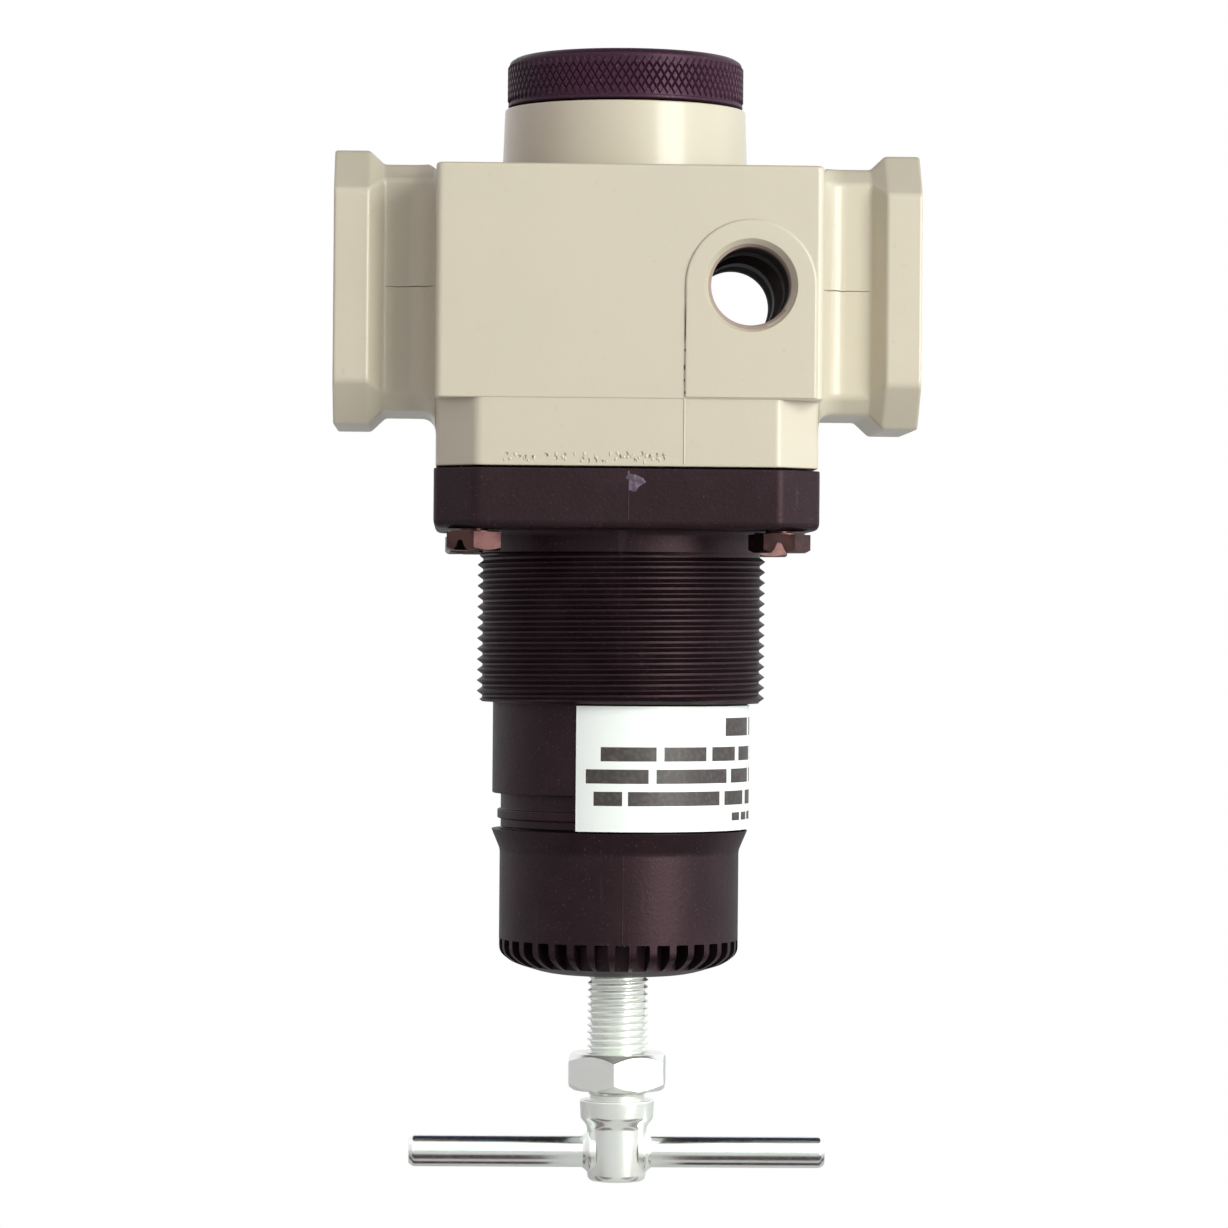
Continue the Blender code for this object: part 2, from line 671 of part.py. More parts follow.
def make_bonnet_screws():
    """Slotted hex head screws. Each turned head keeps the angle at which it was tightened."""
    head_top = FLANGE_BOTTOM - GAP
    head_bottom = head_top - BOLT_HEAD_HEIGHT
    shank = [(0.0, BOLT_END), (BOLT_R, BOLT_END), (BOLT_R, head_top - 0.5), (0.0, head_top - 0.5)]
    slot = [(BOLT_SLOT_WIDTH / 2.0, -BOLT_HEAD_FLATS), (BOLT_SLOT_WIDTH / 2.0, BOLT_HEAD_FLATS)]
    slot += [(-u, -v) for u, v in slot]
    slot_low = head_bottom - THROUGH
    slot_high = head_bottom + BOLT_SLOT_DEPTH
    for (x, y), (number, turn) in zip(corners(), BOLT_TURNS_DEG.items()):
        name = f"bonnet_screw_{number}"
        head = prism(name, hexagon(BOLT_HEAD_FLATS), head_bottom, head_top)
        screw = add_object(name, head, "bronze_plate", (x, y, 0.0))
        tools = [
            join(screw, name + "_shank", turned(name + "_shank", shank, 16)),
            cut(screw, name + "_slot", prism(name + "_slot", slot, slot_low, slot_high)),
        ]
        for part in [screw] + tools:
            part.location = Vector((x, y, 0.0)) * MM
            part.rotation_euler = (0.0, 0.0, math.radians(turn))


def make_cap():
    outline = [
        (CAP_MOUTH_R, CAP_RIM),
        (CAP_RIM_R, CAP_RIM),
        (CAP_R, CAP_RIM_END),
        (CAP_R, -98.9),
        (17.9, -99.8),
        (16.7, -100.6),
        (14.4, -101.3),
        (12.1, -102.1),
        (9.1, -102.6),
        (SCREW_HOLE_R, CAP_BOTTOM),
        (SCREW_HOLE_R, CAP_BOTTOM + 2.6),
        (CAP_BORE_R - 1.2, BONNET_END - 1.6),
        (CAP_BORE_R, BONNET_END - GAP),
        (CAP_BORE_R, CAP_RIM_END + 1.0),
    ]
    cap = add_object("bonnet_cap", turned("bonnet_cap", outline, CAP_SLOTS), "black_nylon")
    bm = bmesh.new()
    height = 8.0
    depth = 6.0
    size = Matrix.Diagonal((depth, CAP_SLOT_WIDTH, height, 1.0))
    for i in range(CAP_SLOTS):
        turn = Matrix.Rotation(2.0 * math.pi * i / CAP_SLOTS, 4, "Z")
        middle = Matrix.Translation((CAP_SLOT_FLOOR_R + depth / 2.0, 0.0, CAP_SLOT_TOP - height / 2.0))
        bmesh.ops.create_cube(bm, size=1.0, matrix=turn @ middle @ size)
    cut(cap, "cap_slots", close_mesh("cap_slots", bm))


def make_label():
    """A strip of an upright tube: bent round the barrel, open over the back."""
    steps = 30
    angles = [math.radians(LABEL_START_DEG + LABEL_SWEEP_DEG * i / steps) for i in range(steps + 1)]
    inner = [(LABEL_R * math.cos(a), LABEL_R * math.sin(a)) for a in angles]
    outer_r = LABEL_R + LABEL_THICK
    outer = [(outer_r * math.cos(a), outer_r * math.sin(a)) for a in reversed(angles)]
    add_object("label", prism("label", inner + outer, LABEL_BOTTOM, LABEL_TOP), "vinyl")


def make_spring_and_button():
    coil_curve("main_spring", SPRING_R, SPRING_WIRE, SPRING_BOTTOM, SPRING_TOP, SPRING_TURNS, 14, "spring_steel")
    outline = [
        (0.0, BUTTON_TOP + BUTTON_BOSS_RISE),
        (BUTTON_BOSS_R - 0.6, BUTTON_TOP + BUTTON_BOSS_RISE),
        (BUTTON_BOSS_R, BUTTON_TOP + BUTTON_BOSS_RISE - 1.0),
        (BUTTON_BOSS_R, BUTTON_TOP),
        (BUTTON_R, BUTTON_TOP),
        (BUTTON_R, BUTTON_TOP - BUTTON_FLANGE),
        (BUTTON_NOSE_R, BUTTON_TOP - BUTTON_FLANGE),
        (BUTTON_NOSE_R, BUTTON_BOTTOM),
        (DIMPLE_R, BUTTON_BOTTOM),
        (0.0, DIMPLE_TOP),
    ]
    add_object("spring_button", turned("spring_button", outline, 32), "zinc_plate")


def make_handle():
    """The adjusting screw with its hub, the T bar through the hub, and the lock nut on the thread."""
    axis = bpy.data.objects.new("handle_axis", None)
    bpy.context.scene.collection.objects.link(axis)

    outline = [
        (0.0, SCREW_TIP),
        (1.5, SCREW_TIP - 0.8),
        (3.0, SCREW_TIP - 1.8),
        (4.2, SCREW_TIP - 3.1),
        (SCREW_R, SCREW_TIP - 4.1),
        (SCREW_R, SCREW_END),
        (HUB_COLLAR_R, SCREW_END),
        (HUB_COLLAR_R, HUB_COLLAR_END),
        (SHANK_R, HUB_COLLAR_END - 1.2),
        (SHANK_R, SHANK_END + 1.0),
        (SHANK_R - 1.0, SHANK_END),
        (0.0, SHANK_END),
    ]
    screw = add_object("adjusting_screw", turned("adjusting_screw", outline, 32), "zinc_plate")
    screw.parent = axis
    hole = circle(T_BAR_R + GAP, SMALL_SEGMENTS, (0.0, T_BAR_Z))
    cut(screw, "t_bar_hole", prism("t_bar_hole", hole, -2.0 * SHANK_R, 2.0 * SHANK_R, "X"))

    half = T_BAR_LENGTH / 2.0
    end_r = T_BAR_R - T_BAR_CHAMFER
    bar = [
        (0.0, half),
        (end_r, half),
        (T_BAR_R, half - T_BAR_CHAMFER),
        (T_BAR_R, -half + T_BAR_CHAMFER),
        (end_r, -half),
        (0.0, -half),
    ]
    t_bar = add_object("t_bar", turned("t_bar", bar, SMALL_SEGMENTS), "zinc_plate", (0.0, 0.0, T_BAR_Z))
    t_bar.rotation_euler = (0.0, math.pi / 2.0, 0.0)
    t_bar.parent = axis

    bottom = -JAM_NUT_HEIGHT
    nut_mesh = prism("lock_nut", hexagon(JAM_NUT_FLATS, JAM_NUT_TURN_DEG), bottom, 0.0)
    nut = add_object("lock_nut", nut_mesh, "zinc_plate", (0.0, 0.0, JAM_NUT_TOP))
    nut.parent = axis
    thread = circle(JAM_NUT_HOLE_R, SMALL_SEGMENTS)
    thread_mesh = prism("nut_thread", thread, bottom - THROUGH, THROUGH)
    cut(nut, "nut_thread", thread_mesh, (0.0, 0.0, JAM_NUT_TOP))


def main():
    clear_scene()
    make_body()
    make_plug()
    make_valve()
    make_diaphragm_set()
    make_bonnet()
    make_bonnet_screws()
    make_cap()
    make_label()
    make_spring_and_button()
    make_handle()


main()
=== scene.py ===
"""Looks of a T-handle compressed air pressure regulator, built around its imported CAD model.

The port axis is X and the main axis is Z: the knurled valve plug is on top, the T handle at the bottom.
Lengths are in millimetres and become metres when a mesh is made.
"""

import json
import math
import random

import bmesh
import bpy
import numpy as np
from mathutils import Matrix, Vector


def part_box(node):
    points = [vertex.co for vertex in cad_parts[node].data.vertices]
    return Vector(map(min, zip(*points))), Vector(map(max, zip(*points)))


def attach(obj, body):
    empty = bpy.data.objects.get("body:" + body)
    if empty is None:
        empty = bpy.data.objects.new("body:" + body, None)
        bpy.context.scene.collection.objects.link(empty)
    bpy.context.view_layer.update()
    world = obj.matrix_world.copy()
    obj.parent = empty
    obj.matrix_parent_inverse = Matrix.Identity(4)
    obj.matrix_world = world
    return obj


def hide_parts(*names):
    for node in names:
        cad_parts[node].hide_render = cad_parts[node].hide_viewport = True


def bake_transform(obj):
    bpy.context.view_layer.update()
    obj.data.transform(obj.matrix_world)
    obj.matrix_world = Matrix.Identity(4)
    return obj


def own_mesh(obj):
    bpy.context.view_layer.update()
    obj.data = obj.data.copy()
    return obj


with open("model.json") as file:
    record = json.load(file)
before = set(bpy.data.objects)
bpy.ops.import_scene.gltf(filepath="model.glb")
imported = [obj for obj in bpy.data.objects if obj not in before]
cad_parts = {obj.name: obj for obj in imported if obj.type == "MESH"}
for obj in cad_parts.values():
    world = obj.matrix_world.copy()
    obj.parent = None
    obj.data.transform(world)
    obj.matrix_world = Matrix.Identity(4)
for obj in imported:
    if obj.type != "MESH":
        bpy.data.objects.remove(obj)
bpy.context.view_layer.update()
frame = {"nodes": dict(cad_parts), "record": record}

MM = 0.001
THROUGH = 5  # how far a cutter runs past the wall that it opens


def mm_box(node):
    low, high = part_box(node)
    return Vector(low) / MM, Vector(high) / MM


# --- sizes: outer ones from the frame, the finer ones named here ---

body_low, body_high = mm_box("body")
bonnet_low, bonnet_high = mm_box("bonnet")
plug_low, plug_high = mm_box("valve_plug")
cap_low, cap_high = mm_box("bonnet_cap")
label_low, label_high = mm_box("label")
screw_low, screw_high = mm_box("adjusting_screw")
nut_low, nut_high = mm_box("lock_nut")
bar_low, bar_high = mm_box("t_bar")
bar_z = (bar_low.z + bar_high.z) / 2
bar_r = (bar_high.z - bar_low.z) / 2

# body casting
BLOCK_HALF = 28.4
BLOCK_TOP = 17.6
BLOCK_STEP = -16.7
BLOCK_EDGE = 1.2
LOWER_HALF = 28.2
CORNER_CUT = 6
NECK_BASE_R = 18.57
NECK_TOP_R = 18.2
ARM_HALF_Y = 17.3
ARM_HALF_Z = 18.3
ARM_CUT = 2.5
ARM_END = 36.1
ARM_FILLET = 4
ARM_FOOT_FILLET = 2
FLANGE_BEVEL = 38.3
FLANGE_FACE = body_high.x
FLANGE_HALF = 20.4
FLANGE_CUT = 6.3
PAD_RAISE = body_high.y - BLOCK_HALF
PAD_R = 9.6
GAUGE_X = 17.7

# air passages
PORT_THREAD_R = 12.75
PORT_BORE_END = 27
GAUGE_THREAD_R = 6.6
# bore, mouth radius, mouth depth, thread radius, pitch, face, end of the thread, end of the bore
MAIN_PORT = (11.7, 12.9, 1.2, PORT_THREAD_R, 1.814, FLANGE_FACE, 29, PORT_BORE_END)
GAUGE_PORT = (5.8, 6.85, 1.5, GAUGE_THREAD_R, 1.411, BLOCK_HALF + PAD_RAISE, 15, 5)
INLET_PASSAGE_R = 4.8
INLET_PASSAGE_Z = 10.2
UPPER_CHAMBER_R = 10.5
WEB_TOP = 5
WEB_HOLE_R = 7.8
LOWER_CHAMBER_R = 8.5
WEB_BOTTOM = 2
LOWER_FLOOR = -12
OUTLET_PASSAGE_R = 10
OUTLET_PASSAGE_START = 12.5
OUTLET_LINK_R = 6
OUTLET_LINK_Z = -5
STEM_GUIDE_R = 1.9
SENSE_HOLE_R = 1.8
SENSE_X = 5.5
DIAPHRAGM_CHAMBER_R = 21
DIAPHRAGM_CHAMBER_TOP = -16
PLUG_BORE_R = 14.5
PLUG_BORE_FLOOR = 15.5

# valve plug
PLUG_R = 17.85
PLUG_SHOULDER = body_high.z + 0.3
KNURLS = 96
KNURL_ROWS = 6
KNURL_DEPTH = 0.28
KNURL_TOP_SHARE = 0.6
KNURL_BOTTOM = 28.95
KNURL_TOP = 34.7

# bonnet and cap
BONNET_HALF = bonnet_high.x
FLANGE_BOTTOM = -35.8
COLLAR_R = 21
THREAD_TOP = -39
THREAD_BOTTOM = -61.5
THREAD_R = 21.75
THREAD_ROOT_R = 20.97
THREAD_PITCH = 25.4 / 16
BARREL_R = 19.3
BARREL_BOTTOM = -75.3
GROOVE_R = 18
BEAD_R = 18.5
BEAD_TOP = -77.7
BEAD_BOTTOM = -79.1
GROOVE_BOTTOM = -80.4
TAIL_R = 16.1
BONNET_END = bonnet_low.z
SCREW_PLACE = 22.5
GATE_X = 0.9
GATE_Z = bonnet_high.z - 2
CAP_R = 18.1
CAP_RIM_R = 19.4
CAP_RIM_END = -83.8
CAP_SLOTS = 36
CAP_SLOT_WIDTH = 2.05
CAP_SLOT_TOP = -97.3
CAP_SLOT_FLOOR_R = 14.7

# bonnet screws
HEAD_FLATS = 7.94
HEAD_HEIGHT = 2.9
HEAD_SLOT_WIDTH = 1.4
HEAD_SLOT_DEPTH = 1.5
HEAD_TURNS_DEG = {"1": -30, "2": -3.7, "3": 82, "4": 40}

# diaphragm
HUB_HOLE_R = 4.3
PLATE_R = 17

# label
LABEL_R = 19.45
LABEL_THICK = 0.12
LABEL_START_DEG = -111.2
LABEL_SWEEP_DEG = 170

# handle
SCREW_R = 4.6
SCREW_ROOT_R = 4.08
SCREW_PITCH = 25.4 / 24
SCREW_THREAD_END = -121
HUB_TOP = -121.7
HUB_COLLAR_R = 5.6
SHANK_R = 4.5
NUT_FLATS = 14.29
NUT_TURN_DEG = 25


# --- mesh tools ---


def eased(points, closed=False, steps=4):
    """Rounds the corners of a path. A point's third number says how far from it the curve starts."""
    path = [np.array(point[:2], float) for point in points]
    rounded = []
    for i, (corner, point) in enumerate(zip(path, points)):
        reach = point[2] if len(point) > 2 else 0
        if reach == 0 or (not closed and i in (0, len(points) - 1)):
            rounded.append(tuple(corner))
            continue
        before = path[i - 1] - corner
        after = path[(i + 1) % len(path)] - corner
        start = corner + before / np.linalg.norm(before) * reach
        end = corner + after / np.linalg.norm(after) * reach
        for k in range(steps + 1):
            t = k / steps
            spot = (1 - t) ** 2 * start + 2 * t * (1 - t) * corner + t**2 * end
            rounded.append(tuple(spot))
    return rounded


def polar(radius, angle, *rest):
    """A point at a radius and an angle about Z, followed by any further coordinate."""
    return (radius * math.cos(angle), radius * math.sin(angle), *rest)


def skin(bm, rings):
    """Faces between successive rings of equal length; a ring of one vertex is a pole."""
    for ring, following in zip(rings, rings[1:]):
        count = max(len(ring), len(following))
        for i in range(count):
            j = (i + 1) % count
            corners = []
            for vert in (ring[i % len(ring)], ring[j % len(ring)]):
                if vert not in corners:
                    corners.append(vert)
            for vert in (following[j % len(following)], following[i % len(following)]):
                if vert not in corners:
                    corners.append(vert)
            if len(corners) > 2:
                bm.faces.new(corners)


def add_turned(bm, outline, segments, closed=False):
    """A surface of revolution about Z from (radius, z) points. Closed joins the last point to the first."""
    rings = []
    for radius, z in outline:
        if radius < 1e-6:
            rings.append([bm.verts.new((0, 0, z))])
            continue
        angles = [2 * math.pi * i / segments for i in range(segments)]
        rings.append([bm.verts.new(polar(radius, a, z)) for a in angles])
    skin(bm, rings + rings[:1] if closed else rings)


def add_thread(bm, low, high, root, crest, pitch, runout, segments):
    """A right-hand thread between two levels, as one skin that meets the root radius at both of them."""
    shape = ((0, 0), (0.10, 0), (0.30, 0.55), (0.46, 1), (0.54, 1), (0.70, 0.55), (0.90, 0))
    turns = int((high - low) / pitch) + 2
    levels = [(turn + phase, rise) for turn in range(-1, turns) for phase, rise in shape]
    columns = []
    for i in range(segments + 1):
        angle = 2 * math.pi * i / segments
        column = []
        for level, rise in levels:
            z = min(max(low + (level + i / segments) * pitch, low), high)
            allowed = min(z - low, high - z) / runout * (crest - root)
            radius = root + min(rise * (crest - root), allowed)
            column.append(bm.verts.new(polar(radius, angle, z)))
        columns.append(column)
    for column, following in zip(columns, columns[1:]):
        for k in range(len(levels) - 1):
            bm.faces.new((column[k], following[k], following[k + 1], column[k + 1]))


def add_loft(bm, sections):
    """A closed solid through outlines of equal length, given as lists of points in space."""
    rings = [[bm.verts.new(point) for point in section] for section in sections]
    skin(bm, rings)
    bm.faces.new(rings[0])
    bm.faces.new(rings[-1])


def smooth(obj, sharp_deg=32):
    obj.data.shade_smooth()
    obj.data.set_sharp_from_angle(angle=math.radians(sharp_deg))


def solid(name, bm):
    """An object from a bmesh that was drawn in millimetres."""
    bmesh.ops.remove_doubles(bm, verts=bm.verts, dist=1e-4)
    bmesh.ops.dissolve_degenerate(bm, edges=bm.edges, dist=1e-5)
    bmesh.ops.scale(bm, vec=(MM, MM, MM), verts=bm.verts)
    bmesh.ops.recalc_face_normals(bm, faces=bm.faces)
    mesh = bpy.data.meshes.new(name)
    bm.to_mesh(mesh)
    bm.free()
    obj = bpy.data.objects.new(name, mesh)
    bpy.context.scene.collection.objects.link(obj)
    smooth(obj)
    return obj


def turned(name, outline, segments=96, closed=False):
    bm = bmesh.new()
    add_turned(bm, outline, segments, closed)
    return solid(name, bm)


def threaded(name, before, thread, after, segments):
    """Turned at both ends of a thread, which is given by its levels, radii, pitch and runout."""
    bm = bmesh.new()
    add_turned(bm, before, segments)
    add_thread(bm, *thread, segments)
    add_turned(bm, after, segments)
    return solid(name, bm)


def lofted(name, sections):
    bm = bmesh.new()
    add_loft(bm, sections)
    return solid(name, bm)


def along(axis, outline, level):
    """An outline of (u, v) points at a level of the X, Y or Z axis."""
    return [{"X": (level, u, v), "Y": (u, level, v), "Z": (u, v, level)}[axis] for u, v in outline]


def prism(name, outline, low, high, axis="Z"):
    return lofted(name, [along(axis, outline, low), along(axis, outline, high)])


def arc(radius, angles, centre):
    return [(centre[0] + radius * math.cos(a), centre[1] + radius * math.sin(a)) for a in angles]


def circle(radius, segments, centre=(0, 0)):
    return arc(radius, [2 * math.pi * (i + 0.5) / segments for i in range(segments)], centre)


def hexagon(flats, turn_deg=0):
    radius = flats / math.sqrt(3)
    return [polar(radius, math.radians(turn_deg + 60 * i)) for i in range(6)]


def octagon(half_u, top, bottom, cut, soft):
    """An octagon in (u, v) with rounded corners, from -bottom to top."""
    points = [
        (half_u, cut - bottom, soft), (half_u, top - cut, soft), (half_u - cut, top, soft),
        (cut - half_u, top, soft), (-half_u, top - cut, soft), (-half_u, cut - bottom, soft),
        (cut - half_u, -bottom, soft), (half_u - cut, -bottom, soft),
    ]
    return eased(points, closed=True, steps=3)


def soft_square(half, soft):
    corners = ((half, half, soft), (-half, half, soft), (-half, -half, soft), (half, -half, soft))
    return eased(corners, closed=True, steps=5)


def combine(target, tool, operation):
    """Runs one exact Boolean and keeps only its result."""
    modifier = target.modifiers.new("combine", "BOOLEAN")
    modifier.operation = operation
    modifier.object = tool
    graph = bpy.context.evaluated_depsgraph_get()
    mesh = bpy.data.meshes.new_from_object(target.evaluated_get(graph))
    target.modifiers.clear()
    target.data = mesh
    bpy.data.objects.remove(tool)


def join(target, *tools):
    for tool in tools:
        combine(target, tool, "UNION")


def cut(target, *tools):
    for tool in tools:
        combine(target, tool, "DIFFERENCE")


def dress(obj, body, nodes, slot, *finishes):
    """Gives a piece its finishes (or just its slot's), its body (none if it bends) and its nodes."""
    smooth(obj)
    for name in finishes or (slot,):
        obj.data.materials.append(FINISHES[name])
    normals = obj.modifiers.new("even normals", "WEIGHTED_NORMAL")
    normals.keep_sharp = True
    if body:
        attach(obj, body)
    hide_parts(*nodes)


# --- materials ---


def add_node(tree, kind, inputs=None, **settings):
    """A shader node. Each input is a value, or the socket that feeds it."""
    node = tree.nodes.new("ShaderNode" + kind)
    for name, value in settings.items():
        setattr(node, name, value)
    for socket, value in (inputs or {}).items():
        if isinstance(value, bpy.types.NodeSocket):
            tree.links.new(value, node.inputs[socket])
        else:
            node.inputs[socket].default_value = value
    return node


class Surface:
    """A Principled material. Noise has so many cells in a metre, a detail, and a stretch per axis."""

    def __init__(self, name, colour, metallic=0):
        self.material = bpy.data.materials.new(name)
        self.material.use_nodes = True
        self.tree = self.material.node_tree
        self.shader = self.tree.nodes["Principled BSDF"]
        self.place = self.add("TexCoord").outputs["Object"]
        self.colour = (*colour, 1)
        self.height = None
        self.set("Metallic", metallic)

    def add(self, kind, inputs=None, **settings):
        return add_node(self.tree, kind, inputs, **settings)

    def set(self, socket, value):
        self.shader.inputs[socket].default_value = value

    def feed(self, socket, value):
        self.tree.links.new(value, self.shader.inputs[socket])

    def noise(self, cells, detail, stretch=(1, 1, 1)):
        spread = self.add("VectorMath", {0: self.place, 1: stretch}, operation="MULTIPLY")
        texture = self.add("TexNoise", {"Vector": spread.outputs[0], "Scale": cells, "Detail": detail})
        return texture.outputs["Fac"]

    def scaled(self, value, factor):
        return self.add("Math", {0: value, 1: factor}, operation="MULTIPLY").outputs[0]

    def reach(self, axis):
        """The distance from the object's centre plane along an axis, in metres."""
        split = self.add("SeparateXYZ", {0: self.place})
        return self.add("Math", {0: split.outputs[axis]}, operation="ABSOLUTE").outputs[0]

    def between(self, value, low, high):
        """Rescales a value so that low becomes 0 and high becomes 1, held to that range."""
        return self.add("MapRange", {"Value": value, "From Min": low, "From Max": high}).outputs["Result"]

    def hollow_shade(self, reach_mm):
        """1 in corners and grooves, 0 on open faces, from ambient occlusion; a tint by it is painted shade.
        """
        hollow = self.add("AmbientOcclusion", {"Distance": reach_mm * MM}, samples=6)
        return self.between(hollow.outputs["AO"], 0.75, 0.25)

    def tint(self, factor, colour, most):
        """Mixes another colour in where factor is high."""
        inputs = {"Factor": self.scaled(factor, most), 6: self.colour, 7: (*colour, 1)}
        self.colour = self.add("Mix", inputs, data_type="RGBA").outputs[2]
        self.feed("Base Color", self.colour)

    def patches(self, cells, detail, low, high, colour, most, *stretch):
        """Mixes another colour in where noise rises from low to high."""
        self.tint(self.between(self.noise(cells, detail, *stretch), low, high), colour, most)

    def rough(self, cells, detail, low, high, *stretch):
        """Roughness that runs from low to high with noise."""
        inputs = {"Value": self.noise(cells, detail, *stretch), "To Min": low, "To Max": high}
        self.feed("Roughness", self.add("MapRange", inputs).outputs["Result"])

    def relief(self, cells, detail, depth_mm, *stretch):
        """Adds bumps of the given depth."""
        height = self.noise(cells, detail, *stretch)
        inputs = {"Height": height, "Strength": 1, "Distance": depth_mm * MM}
        if self.height is not None:
            inputs["Normal"] = self.height
        self.height = self.add("Bump", inputs).outputs["Normal"]
        self.feed("Normal", self.height)

    def dusty(self, *sockets):
        """Dust lies on level faces that look up, and takes their gloss away."""
        normal = self.add("SeparateXYZ", {0: self.add("NewGeometry").outputs["Normal"]})
        clean = self.between(normal.outputs["Z"], 0.99, 0.90)
        for socket in sockets:
            self.feed(socket, self.scaled(clean, self.shader.inputs[socket].default_value))


def cast_paint():
    s = Surface("cast_paint", (0.565, 0.515, 0.405))
    s.patches(45, 4, 0.42, 0.70, (0.54, 0.495, 0.395), 0.55)
    s.patches(700, 2, 0.68, 0.78, (0.44, 0.39, 0.31), 0.35)
    # Painted shade: the next two tints darken the paint by ambient occlusion, wide and pinkish, then darker
    # in tight corners and grooves.
    s.tint(s.hollow_shade(5), (0.36, 0.25, 0.25), 0.2)
    s.tint(s.hollow_shade(1.6), (0.19, 0.125, 0.12), 0.6)
    s.rough(150, 3, 0.34, 0.50)
    s.relief(160, 3, 0.05)
    s.relief(1500, 2, 0.012)
    s.set("Coat Weight", 0.4)
    s.set("Coat Roughness", 0.15)
    s.dusty("Coat Weight", "Specular IOR Level")
    return s.material


def painted_bore_shade():
    """The machined bores: painted near black as shade deep inside, and paler towards the mouths as painted
    light.
    """
    s = Surface("painted_bore_shade", (0.022, 0.014, 0.015))
    s.patches(300, 3, 0.40, 0.70, (0.040, 0.028, 0.030), 0.7)
    # Painted light: the next two tints make the bores paler towards their mouths, where light reaches in.
    s.tint(s.between(s.reach("Y"), 0.0225, 0.0285), (0.50, 0.38, 0.33), 0.9)
    s.tint(s.between(s.reach("X"), 0.0340, 0.0425), (0.50, 0.38, 0.33), 0.9)
    s.rough(900, 3, 0.52, 0.70)
    s.relief(1500, 2, 0.02)
    s.set("Specular IOR Level", 0.2)
    return s.material


def black_nylon():
    s = Surface("black_nylon", (0.004, 0.0016, 0.0024))
    s.patches(60, 4, 0.40, 0.72, (0.009, 0.0035, 0.005), 0.7)
    s.patches(150, 6, 0.45, 0.75, (0.020, 0.010, 0.013), 0.5)
    s.patches(2600, 1, 0.66, 0.76, (0.10, 0.07, 0.08), 0.3)
    s.patches(500, 3, 0.66, 0.75, (0.05, 0.034, 0.040), 0.3, (1, 1, 0.15))
    s.rough(300, 3, 0.40, 0.52)
    s.relief(1800, 2, 0.035)
    s.relief(120, 2, 0.05)
    s.set("Specular IOR Level", 0.32)
    s.set("Specular Tint", (1, 0.64, 0.74, 1))
    return s.material


def anodised():
    s = Surface("anodised", (0.050, 0.018, 0.036), 0.2)
    s.patches(90, 3, 0.40, 0.70, (0.030, 0.012, 0.022), 0.6)
    s.patches(2400, 1, 0.68, 0.76, (0.24, 0.17, 0.22), 0.4)
    s.rough(800, 3, 0.34, 0.50)
    s.relief(3000, 2, 0.01)
    s.set("Specular IOR Level", 0.15)
    s.dusty("Metallic", "Specular IOR Level")
    return s.material


def zinc_plate(name, metallic):
    s = Surface(name, (0.93, 0.96, 0.93), metallic)
    s.patches(120, 4, 0.42, 0.72, (0.90, 0.90, 0.82), 0.6)
    # Painted shade: greyer zinc in tight corners and grooves, by ambient occlusion.
    s.tint(s.hollow_shade(0.5), (0.34, 0.35, 0.32), 0.6)
    s.rough(900, 4, 0.14, 0.30)
    s.relief(700, 4, 0.012, (0.25, 1, 1))
    return s.material


def plain_finish(name, colour, metallic, patches, rough, relief):
    s = Surface(name, colour, metallic)
    for patch in patches:
        s.patches(*patch)
    s.rough(*rough)
    s.relief(*relief)
    return s.material


def ink():
    s = Surface("label_ink", (0.035, 0.028, 0.027))
    s.patches(1400, 3, 0.45, 0.75, (0.09, 0.075, 0.066), 0.8)
    s.relief(1500, 2, 0.01)
    s.set("Roughness", 0.45)
    return s.material


FINISHES = {
    "cast_paint": cast_paint(),
    "painted_bore_shade": painted_bore_shade(),
    "black_nylon": black_nylon(),
    "anodised": anodised(),
    "zinc_plate": zinc_plate("zinc_plate", 0.75),
    "bright_zinc_plate": zinc_plate("bright_zinc_plate", 1),
    "label_ink": ink(),
}
# colour, metallic, patches, roughness and relief; worn_nylon is the broken gate of the moulding
PLAIN_FINISHES = {
    "worn_nylon": (
        (0.055, 0.035, 0.055), 0, [(1800, 3, 0.42, 0.58, (0.16, 0.11, 0.17), 0.8)],
        (1500, 3, 0.50, 0.75), (2200, 3, 0.05),
    ),
    "bronze_plate": (
        (0.085, 0.043, 0.041), 1, [(400, 4, 0.40, 0.70, (0.028, 0.017, 0.017), 0.8)],
        (1200, 3, 0.24, 0.42), (1500, 3, 0.015),
    ),
    "spring_steel": (
        (0.42, 0.42, 0.43), 1, [(500, 4, 0.45, 0.70, (0.22, 0.21, 0.21), 0.7)],
        (1600, 3, 0.28, 0.48), (2500, 2, 0.02),
    ),
    "brass": (
        (0.74, 0.53, 0.22), 1, [(200, 4, 0.42, 0.70, (0.60, 0.40, 0.17), 0.6)],
        (900, 3, 0.20, 0.36, (1, 1, 4)), (900, 3, 0.01, (0.1, 0.1, 5)),
    ),
    "rubber": (
        (0.022, 0.021, 0.021), 0, [(300, 4, 0.45, 0.75, (0.05, 0.048, 0.046), 0.6)],
        (600, 3, 0.50, 0.75), (1800, 3, 0.02),
    ),
    "vinyl": (
        (0.86, 0.91, 0.89), 0,
        [(90, 3, 0.45, 0.75, (0.80, 0.87, 0.86), 0.5), (1600, 2, 0.70, 0.80, (0.62, 0.62, 0.58), 0.35)],
        (400, 3, 0.28, 0.42), (220, 2, 0.02),
    ),
}
for finish_name, look in PLAIN_FINISHES.items():
    FINISHES[finish_name] = plain_finish(finish_name, *look)


def finish_cad_nodes():
    """Every CAD node gets the material of its slot; the ones that stay visible keep it."""
    for part in frame["record"]["subparts"]:
        mesh = frame["nodes"][part["node"]].data
        mesh.materials.clear()
        mesh.materials.append(FINISHES[part["material_slot"]])


# --- body casting ---


